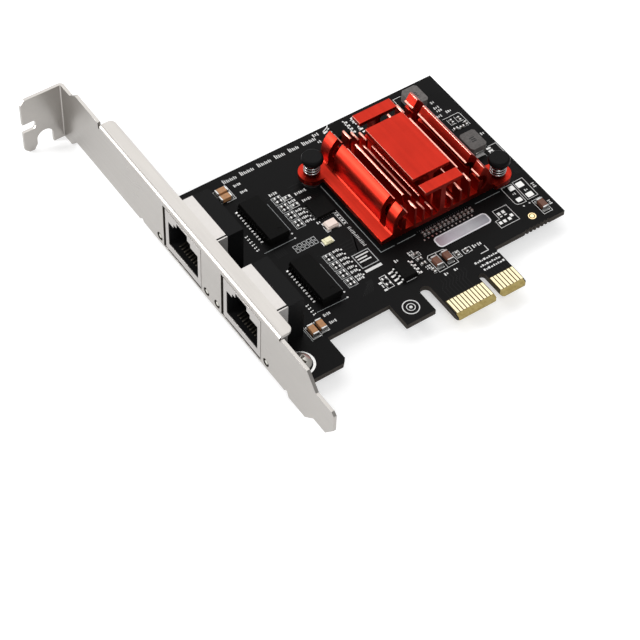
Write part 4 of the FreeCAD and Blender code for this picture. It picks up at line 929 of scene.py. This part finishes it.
    # Unpopulated footprints on the right.
    stroke(ink, [(82.55, 20.75), (82.7, 27.35), (85.8, 27.35), (85.7, 20.75), (82.55, 20.75)], 0.14)
    stroke(ink, [(80.2, 20.6), (81.9, 20.5), (82.2, 27.15), (79.1, 27.2), (79.0, 21.6), (79.35, 20.85), (80.2, 20.6)], 0.14)
    marks(ink, 84.15, 23.6, 2, "x", 0.7, 0.55)
    marks(ink, 80.8, 24.1, 2, "x", 0.7, 0.55, 1)
    for x, y in ((80.4, 19.6), (82.2, 19.65)):
        flat(ink, disc(x, y, 0.24, 12), INK_Z)
    marks(ink, 86.75, 23.9, 3, "y", 0.9, 0.6)
    outline(ink, 83.0, 14.75, 85.6, 19.8, 0.14)
    marks(ink, 86.6, 17.2, 3, "y", 0.85, 0.55)
    stroke(ink, [(72.7, 22.45), (76.9, 22.35), (76.95, 16.86), (71.32, 16.88), (71.4, 19.4), (72.7, 19.4), (72.7, 22.45)], 0.14)
    # Memory chip and its neighbours.
    stroke(ink, [(41.8, 15.75), (44.7, 15.75)], 0.16)
    marks(ink, 43.55, 22.5, 2, "x", 0.95, 0.62)
    outline(ink, 37.0, 16.45, 38.7, 20.45, 0.15)
    bar(ink, 35.85, 18.6, 36.75, 19.2)
    bar(ink, 35.85, 16.2, 36.75, 16.8)
    bar(ink, 36.15, 17.3, 36.45, 18.3)
    for y in (22.9, 22.2):
        marks(ink, 47.9, y, 3, "x", 0.55, 0.55)
    outline(ink, 47.5, 20.85, 49.8, 22.0, 0.13)
    for y in (17.0, 16.3):
        marks(ink, 49.0, y, 3, "x", 0.5, 0.55, 1)
    stroke(ink, [(50.3, 13.9), (50.3, 19.0), (50.9, 19.6), (55.2, 19.3), (55.9, 18.6), (56.1, 14.0), (50.3, 13.9)], 0.14)
    stroke(ink, [(52.95, 13.95), (52.95, 19.4)], 0.12)
    marks(ink, 51.3, 12.6, 2, "x", 0.85, 0.62)
    marks(ink, 54.1, 12.5, 2, "x", 0.85, 0.62, 3)
    outline(ink, 56.5, 15.0, 58.0, 17.1, 0.13)
    outline(ink, 58.9, 15.15, 61.1, 16.55, 0.15)
    bar(ink, 59.95, 15.3, 60.15, 16.4)
    marks(ink, 62.3, 16.0, 2, "x", 1.0, 0.62)
    marks(ink, 63.7, 15.9, 2, "x", 1.0, 0.62, 2)
    # Rows of fine ticks above the contacts.
    for k, (x0, x1, y) in enumerate(((58.9, 66.0, 11.35), (59.5, 65.5, 9.9), (59.6, 65.7, 8.55))):
        x = x0
        i = k
        while x < x1:
            w = (0.55, 0.34, 0.46, 0.30, 0.62)[i % 5]
            bar(ink, x, y - 0.30, x + w, y + 0.30 - 0.22 * (i % 2))
            x += w + 0.24
            i += 1
    stroke(ink, [(62.1, 13.1), (64.4, 13.1), (64.4, 14.8)], 0.2)
    # Crystal and lamp corners.
    stroke(ink, [(35.0, 41.0), (35.0, 39.05), (36.0, 39.05)], 0.16)
    stroke(ink, [(38.2, 39.05), (39.0, 39.05), (39.0, 40.3)], 0.14)
    marks(ink, 34.9, 42.9, 2, "x", 0.8, 0.6)
    # By the jacks and the low edge.
    stroke(ink, [(15.25, 37.2), (17.9, 37.2)], 0.35)
    marks(ink, 13.2, 33.2, 3, "x", 0.8, 0.5)
    stroke(thin, [(12.9, 13.2), (12.9, 17.2), (5.0, 17.2)], 0.16)
    stroke(ink, [(13.3, 18.0), (13.3, 13.6), (15.75, 13.6), (15.75, 18.0)], 0.14)
    stroke(ink, [(15.75, 14.0), (18.2, 14.0), (18.2, 18.2)], 0.14)
    marks(ink, 20.2, 18.2, 4, "x", 0.85, 0.5)
    marks(ink, 20.2, 15.6, 4, "x", 0.85, 0.5, 2)
    mesh_object("screen_print", ink, INK)
    mesh_object("screen_print_boxes", boxes, MID_INK)
    mesh_object("screen_print_fine", thin, DIM_INK)


silk_screen()

RES_PLACES = []
for x0, y0 in ((30.6, 54.33), (30.6, 32.11)):
    for i in range(4):
        for side in (0.61, -0.61):
            RES_PLACES.append((x0, y0 - 3.025 * i + side, "x"))
RES_PLACES += [(33.1, 53.84, "x"), (33.3, 50.75, "x"), (37.8, 19.4, "x"), (37.8, 17.6, "x")]
CAP_PLACES = [(20.3, 64.0, "x"), (20.1, 61.75, "x"), (14.5, 15.6, "y"), (17.0, 15.9, "y"), (51.4, 16.6, "y"), (54.5, 16.6, "y"), (84.3, 17.3, "y")]
TINY_PLACES = [(54.2 + 1.2 * i, 25.8, "y") for i in range(13)]
TINY_PLACES += [(82.6, 52.4, "y"), (84.8, 52.2, "y"), (81.9, 49.8, "x"), (83.7, 49.5, "x"), (85.3, 50.0, "y"),
                (48.6, 21.6, "x"), (48.6, 19.9, "x"), (48.6, 18.2, "x"), (59.7, 15.8, "y"), (57.2, 16.0, "y"), (49.4, 15.0, "y")]


def wedge(bm, x, y, dx, dy, width, run, rise):
    """Solder fillet: a closed wedge that leans on a part's end and runs out along (dx, dy) on its pad."""
    px, py = -dy, dx
    steps = 5
    prof = [(0.0, 0.0)] + [(run * k / steps, rise * (1.0 - k / steps) ** 1.8) for k in range(steps + 1)]
    prof = [(0.0, 0.015)] + [(a, max(0.015, z)) for a, z in prof[1:]]
    left = [bm.verts.new(P(x + dx * a + px * width / 2, y + dy * a + py * width / 2, z)) for a, z in prof]
    right = [bm.verts.new(P(x + dx * a - px * width / 2, y + dy * a - py * width / 2, z)) for a, z in prof]
    n = len(prof)
    bm.faces.new(left)
    bm.faces.new(right[::-1])
    for i in range(n):
        j = (i + 1) % n
        bm.faces.new([left[i], right[i], right[j], left[j]])


def plated():
    tin = bmesh.new()
    fil = bmesh.new()
    gold = bmesh.new()

    def chip_pads(places, length, width, height, grow):
        for x, y, along in places:
            for s in (-1.0, 1.0):
                if along == "x":
                    ex = x + s * length / 2.0
                    bar(tin, ex - s * 0.38, y - width / 2 - 0.06, ex + s * grow, y + width / 2 + 0.06, PAD_Z)
                    wedge(fil, ex, y, s, 0.0, width * 0.92, grow * 0.85, height * 0.62)
                else:
                    ey = y + s * length / 2.0
                    bar(tin, x - width / 2 - 0.06, ey - s * 0.38, x + width / 2 + 0.06, ey + s * grow, PAD_Z)
                    wedge(fil, x, ey, 0.0, s, width * 0.92, grow * 0.85, height * 0.62)

    chip_pads(CAP_PLACES, 3.2, 1.7, 1.25, 0.40)
    chip_pads(RES_PLACES, 1.5, 0.75, 0.45, 0.16)
    chip_pads(TINY_PLACES, 1.3, 0.65, 0.5, 0.18)
    # Feet of the magnetics.
    for tag, yc in (("a", 50.82), ("b", 28.52)):
        for i in range(12):
            y = yc + (i - 5.5) * 1.02
            for xf, s in ((19.6, -1.0), (27.3, 1.0)):
                bar(tin, xf - s * 0.50, y - 0.24, xf + s * 0.06, y + 0.24, (-0.004, 0.012))
    # Feet of the two eight-lead chips.
    for x, y in ((43.25, 18.3), (56.6, 65.0)):
        for i in range(4):
            yy = y + (i - 1.5) * 1.27
            for s in (-1.0, 1.0):
                xf = x + s * 3.0
                bar(tin, xf - s * 0.75, yy - 0.29, xf + s * 0.62, yy + 0.29, PAD_Z)
                wedge(fil, xf, yy, s, 0.0, 0.40, 0.36, 0.15)
    # Regulator: edge pads on four sides.
    for i in range(8):
        c = (i - 3.5) * 0.6
        for s in (-1.0, 1.0):
            bar(tin, 37.9 + s * 2.62, 46.4 + c - 0.13, 37.9 + s * 3.0, 46.4 + c + 0.13, PAD_Z)
            bar(tin, 37.9 + c - 0.13, 46.4 + s * 2.62, 37.9 + c + 0.13, 46.4 + s * 3.0, PAD_Z)
    # Crystal, lamp and choke pads.
    for sx in (-1.0, 1.0):
        for sy in (-1.0, 1.0):
            bar(tin, 37.0 + sx * 0.75, 40.65 + sy * 0.65, 37.0 + sx * 1.85, 40.65 + sy * 1.45, PAD_Z)
        bar(tin, 33.3 + sx * 0.7, 35.95, 33.3 + sx * 1.6, 37.4, PAD_Z)
    for x, y in ((78.5, 63.0), (81.55, 42.4)):
        for s in (-1.0, 1.0):
            bar(tin, x - 1.45, y + s * 2.7, x + 1.45, y + s * 3.75, PAD_Z)
            wedge(fil, x, y + s * 3.15, 0.0, s, 2.6, 0.45, 0.6)
    # Unpopulated footprints.
    for x, y, w, h in ((83.9, 25.8, 1.9, 1.7), (84.0, 21.9, 1.9, 1.5), (81.3, 25.9, 1.5, 1.5), (80.7, 21.9, 1.5, 1.3)):
        flat(tin, round_rect(x - w / 2, y - h / 2, x + w / 2, y + h / 2, 0.18), (-0.004, 0.05))
    for x, y in ((73.56, 20.9), (74.89, 20.9), (76.0, 18.93), (73.46, 18.3), (74.93, 18.3), (72.2, 18.3)):
        bar(tin, x - 0.42, y - 0.46, x + 0.42, y + 0.46, PAD_Z)
    for x, y in ((73.56, 19.9), (74.89, 19.9)):
        bar(tin, x - 0.36, y - 0.16, x + 0.36, y + 0.16, PAD_Z)
    for x in (84.5, 85.2):
        for y in (38.9, 39.9):
            bar(tin, x - 0.22, y - 0.3, x + 0.22, y + 0.3, PAD_Z)
    for y in (32.75, 31.2, 29.65, 28.2, 26.5, 25.0, 23.4):
        bar(tin, 34.35, y - 0.2, 34.75, y + 0.2, PAD_Z)
    for y in (48.6, 47.3, 45.8, 44.4):
        bar(tin, 34.35, y - 0.2, 34.75, y + 0.2, PAD_Z)
    # Fine row of terminals along the heatsink's lower edge.
    for i in range(26):
        x = 53.3 + 0.6 * i
        bar(tin, x - 0.13, 26.95, x + 0.13, 27.25, PAD_Z)
        if i % 2 == 0:
            bar(tin, x - 0.20, 23.95, x + 0.20, 24.35, PAD_Z)
    # Driver row by the top edge.
    for i in range(6):
        bar(tin, 61.6 + 0.0, 67.4 - 1.1 * i - 0.22, 62.4, 67.4 - 1.1 * i + 0.22, PAD_Z)
    # Small vias below each magnetics block.
    for x, y0, count in ((17.35, 48.6, 6), (17.6, 22.8, 4)):
        for k in range(count):
            y = y0 - 1.02 * k
            add_ring(tin, x, y, 0.09, 0.21, -0.004, 0.02, 14)
            flat(tin, disc(x + 0.52, y + 0.1, 0.15, 12), (-0.004, 0.02))
    # Board screws stand in plated rings.
    for y in (9.4, 63.2):
        add_ring(tin, 6.75, y, 2.98, 3.62, -0.004, 0.05, 56)
    # Push-pin holes.
    for x, y in ((41.3, 55.3), (79.6, 29.8)):
        add_ring(tin, x, y, 1.65, 2.5, -0.004, 0.03, 40)
    # Fiducials.
    for x, y in ((80.07, 15.9),):
        flat(gold, disc(x, y, 0.55, 24), PAD_Z)
        add_ring(gold, x, y, 0.80, 1.02, PAD_Z[0], PAD_Z[1], 28)
    mesh_object("tinned_pads", tin, MAT["lead_tin"])
    mesh_object("solder_fillets", fil, SOLDER, smooth=50)
    mesh_object("gold_pads", gold, GOLD_PAD)


plated()


def underside():
    """Solder cones on the jacks' legs and tabs, tented vias and a few prints on the solder side."""
    sol = bmesh.new()
    for ym in (49.5, 24.1):
        for i in range(8):
            x, y = (10.75 if i % 2 == 0 else 9.15), ym + (i - 3.5) * 1.02
            add_lathe(sol, x, y, [(0.0, UNDER + 0.02), (0.66, UNDER + 0.02), (0.66, UNDER - 0.05), (0.42, UNDER - 0.28), (0.30, UNDER - 0.62), (0.22, UNDER - 0.90), (0.0, UNDER - 0.95)], 16)
    for yj in (49.15, 23.75):
        for s in (-1.0, 1.0):
            x, y = 6.95, yj + s * 7.6
            add_lathe(sol, x, y, [(0.0, UNDER + 0.02), (1.0, UNDER + 0.02), (1.0, UNDER - 0.06), (0.72, UNDER - 0.34), (0.56, UNDER - 0.62), (0.0, UNDER - 0.74)], 20)
    mesh_object("solder_joints_under", sol, SOLDER, smooth=60)
    ink = bmesh.new()
    tin = bmesh.new()
    for ym in (49.15, 23.75):
        for a, b in (((16.2, ym - 7.9), (16.2, ym + 7.9)),):
            dx, dy = b[0] - a[0], b[1] - a[1]
            flat(ink, rect_pts(a[0] - 0.08, a[1], a[0] + 0.08, b[1]), (-0.004, 0.016), True)
    rnd = random.Random(5)
    for i in range(9):
        x, y = 24.0 + 6.4 * i, 60.5 - 3.0 * (i % 3)
        marks(ink, x, y + 1.4, 3, "x", 0.8, 0.5, i, under=True)
        for s in (-1.0, 1.0):
            flat(tin, rect_pts(x + s * 0.75 - 0.4, y - 0.42, x + s * 0.75 + 0.4, y + 0.42), PAD_Z, True)
    for i in range(70):
        x, y = rnd.uniform(19.0, 84.0), rnd.uniform(17.0, 64.0)
        if abs(x - 41.3) < 3.5 and abs(y - 55.3) < 3.5 or abs(x - 79.6) < 3.5 and abs(y - 29.8) < 3.5:
            continue
        r0, r1 = 0.13, 0.30
        rows = []
        for r, z in ((r0, UNDER + 0.004), (r1, UNDER + 0.004), (r1, UNDER - 0.022), (r0, UNDER - 0.022)):
            rows.append([tin.verts.new(P(x + r * math.cos(2 * math.pi * k / 12), y + r * math.sin(2 * math.pi * k / 12), z)) for k in range(12)])
        for a in range(4):
            b = (a + 1) % 4
            for k in range(12):
                j = (k + 1) % 12
                tin.faces.new([rows[a][k], rows[a][j], rows[b][j], rows[b][k]])
    for x, y in ((41.3, 55.3), (79.6, 29.8)):
        rows = []
        for r, z in ((1.80, UNDER + 0.004), (2.7, UNDER + 0.004), (2.7, UNDER - 0.022), (1.80, UNDER - 0.022)):
            rows.append([tin.verts.new(P(x + r * math.cos(2 * math.pi * k / 40), y + r * math.sin(2 * math.pi * k / 40), z)) for k in range(40)])
        for a in range(4):
            b = (a + 1) % 4
            for k in range(40):
                j = (k + 1) % 40
                tin.faces.new([rows[a][k], rows[a][j], rows[b][j], rows[b][k]])
    mesh_object("under_print", ink, INK)
    mesh_object("under_pads", tin, MAT["lead_tin"])


underside()


def copper():
    """Tracks that show as faint ridges in the mask."""
    bm = bmesh.new()
    z = (-0.004, 0.012)
    w = 0.2
    # Pairs from the magnetics to the controller.
    for i, yc in enumerate((50.82, 28.52)):
        for k in range(12):
            y0 = yc + (k - 5.5) * 1.02
            y1 = (44.6 if i == 0 else 40.2) + (k - 5.5) * 0.34
            xa, xb = 28.3, 35.0 + 0.3 * (k % 6)
            stroke(bm, [(xa, y0), (29.0, y0)], w, z)
            lead = abs(y0 - y1)
            stroke(bm, [(34.9, y0), (35.3 + 0.3 * k, y0), (35.3 + 0.3 * k + min(lead, 5.0) * 0.55, y0 + (y1 - y0) * 0.55)], w, z)
    # Pairs from the contacts up to the controller.
    for k in range(8):
        x0 = 47.6 + 1.0 * k
        x1 = 57.6 + 0.62 * k
        stroke(bm, [(x0, 5.9), (x0, 9.2), (x0 + 1.4, 10.6), (x0 + 1.4, 12.0)], w, z)
        stroke(bm, [(x1, 18.0), (x1, 19.4)], w, z)
        stroke(bm, [(x1, 23.7), (x1, 24.6)], w, z)
    for k in range(6):
        x0 = 60.6 + 1.0 * k
        stroke(bm, [(x0 - 0.0, 5.9), (x0, 7.4)], w, z)
    # Supply runs on the right.
    for k in range(5):
        stroke(bm, [(80.0 + 0.55 * k, 58.6), (80.0 + 0.55 * k, 56.9), (82.4 + 0.55 * k, 54.6)], 0.22, z)
        stroke(bm, [(78.7, 36.0 - 0.6 * k), (81.6 + 0.4 * k, 36.0 - 0.6 * k), (86.9 - 0.35 * k, 33.2 - 0.5 * k), (86.9 - 0.35 * k, 29.0)], 0.18, z)
    for k in range(6):
        stroke(bm, [(21.5 + 0.5 * k, 59.3), (21.5 + 0.5 * k, 58.1), (23.0 + 0.5 * k, 57.2)], 0.18, z)
        stroke(bm, [(64.0 + 1.9 * k, 60.9), (64.0 + 1.9 * k, 63.0), (66.0 + 1.9 * k, 65.0), (71.0 + 0.5 * k, 65.0)], 0.18, z)
        stroke(bm, [(20.3 + 0.55 * k, 38.6), (20.3 + 0.55 * k, 40.9)], 0.18, z)
        stroke(bm, [(30.5 + 0.6 * k, 17.8), (33.6 + 0.3 * k, 20.4), (33.6 + 0.3 * k, 21.2)], 0.18, z)
    for k in range(26):
        x = 53.3 + 0.6 * k
        stroke(bm, [(x, 27.2), (x, 27.9)], 0.16, z)
    mesh_object("masked_tracks", bm, TRACE)


copper()


def label():
    """Raised label: a light rim round a slightly sunk field."""
    bm = bmesh.new()
    x0, y0, x1, y1 = 54.95, 19.8, 70.95, 23.4
    loops = []
    for inset, z in ((0.0, 0.0), (0.0, 0.05), (0.08, 0.095), (0.26, 0.10), (0.36, 0.072), (0.9, 0.066)):
        r = max(0.25, 1.15 - inset)
        loops.append([bm.verts.new(P(x, y, z)) for x, y in round_rect(x0 + inset, y0 + inset, x1 - inset, y1 - inset, r, 8)])
    n = len(loops[0])
    rim_faces = []
    for a, b in zip(loops, loops[1:]):
        for k in range(n):
            j = (k + 1) % n
            rim_faces.append(bm.faces.new([a[k], a[j], b[j], b[k]]))
    bm.faces.new(loops[0][::-1])
    top = bm.faces.new(loops[-1])
    me_index = {}
    obj = mesh_object("label_blank", bm, RIM, smooth=45)
    obj.data.materials.append(MAT["label_white"])
    cx, cy = P((x0 + x1) / 2, 0, 0).x, P(0, (y0 + y1) / 2, 0).y
    for f in obj.data.polygons:
        dx = (x1 - x0) / 2000.0 - abs(f.center.x - cx)
        dy = (y1 - y0) / 2000.0 - abs(f.center.y - cy)
        if f.normal.z > 0.9 and f.center.z * 1000.0 + SHIFT.z < 0.085 and min(dx, dy) > 0.0003:
            f.material_index = 1
    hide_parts("blank_label")


label()

# ---------------------------------------------------------------------------
# camera, light and floor
# ---------------------------------------------------------------------------


def camera():
    # World-to-camera turn (x right, y down, z forward) and place of the eye.
    rv = Vector((2.380146, -0.728570, 0.290859))
    ang = rv.length
    R = Matrix.Rotation(ang, 3, rv.normalized())
    r, d, f = R[0], R[1], R[2]
    cam = bpy.data.cameras.new("photo_camera")
    cam.sensor_width = 36.0
    cam.lens = 2143.206756 * 36.0 / 640.0
    cam.clip_start = 0.01
    cam.clip_end = 50.0
    obj = link(bpy.data.objects.new("photo_camera", cam))
    rot = Matrix(((r[0], -d[0], -f[0]), (r[1], -d[1], -f[1]), (r[2], -d[2], -f[2])))
    obj.matrix_world = Matrix.Translation(P(-169.539935, -236.105374, 393.788817)) @ rot.to_4x4()
    bpy.context.scene.camera = obj


camera()


def area_light(name, loc, target, size, power, size_y=None, colour=(1, 1, 1)):
    light = bpy.data.lights.new(name, "AREA")
    light.shape = "RECTANGLE"
    light.size = size
    light.size_y = size_y or size
    light.energy = power
    light.color = colour
    obj = link(bpy.data.objects.new(name, light))
    obj.location = loc
    direction = Vector(target) - Vector(loc)
    obj.rotation_euler = direction.to_track_quat("-Z", "Y").to_euler()
    return obj


def stage():
    bm = bmesh.new()
    s = 3.0
    vs = [bm.verts.new((x, y, -0.00002)) for x, y in ((-s, -s), (s, -s), (s, s), (-s, s))]
    bm.faces.new(vs)
    me = bpy.data.meshes.new("floor")
    bm.to_mesh(me)
    bm.free()
    floor = link(bpy.data.objects.new("floor", me))
    m, nt, bsdf = new_material("floor_paper")
    n = noise(nt, coords(nt), 30.0, 3.0)
    nt.links.new(ramp(nt, n, [(0.3, (0.61, 0.61, 0.61, 1)), (0.7, (0.63, 0.63, 0.63, 1))]), bsdf.inputs["Base Color"])
    bsdf.inputs["Roughness"].default_value = 0.85
    bsdf.inputs["Specular IOR Level"].default_value = 0.2
    bsdf.inputs["Emission Color"].default_value = (1.0, 1.0, 1.0, 1.0)
    bsdf.inputs["Emission Strength"].default_value = 0.48
    floor.data.materials.append(m)
    world = bpy.data.worlds.new("studio")
    bpy.context.scene.world = world
    world.use_nodes = True
    bg = world.node_tree.nodes["Background"]
    bg.inputs["Color"].default_value = (1.0, 1.0, 1.0, 1.0)
    bg.inputs["Strength"].default_value = 0.45
    area_light("back_softbox", (0.22, 0.70, 0.98), (0.0, 0.0, 0.0), 1.5, 7.6, 0.9)
    area_light("edge_softbox", (-1.02, 0.60, 0.50), (0.0, 0.0, 0.0), 0.32, 13.2, 0.74)
    area_light("front_softbox", (-0.45, -0.80, 1.15), (0.0, 0.0, 0.0), 0.5, 6.4, 0.5)
    sc = bpy.context.scene
    sc.view_settings.view_transform = "Standard"
    sc.view_settings.look = "None"
    sc.view_settings.exposure = 0.0


stage()
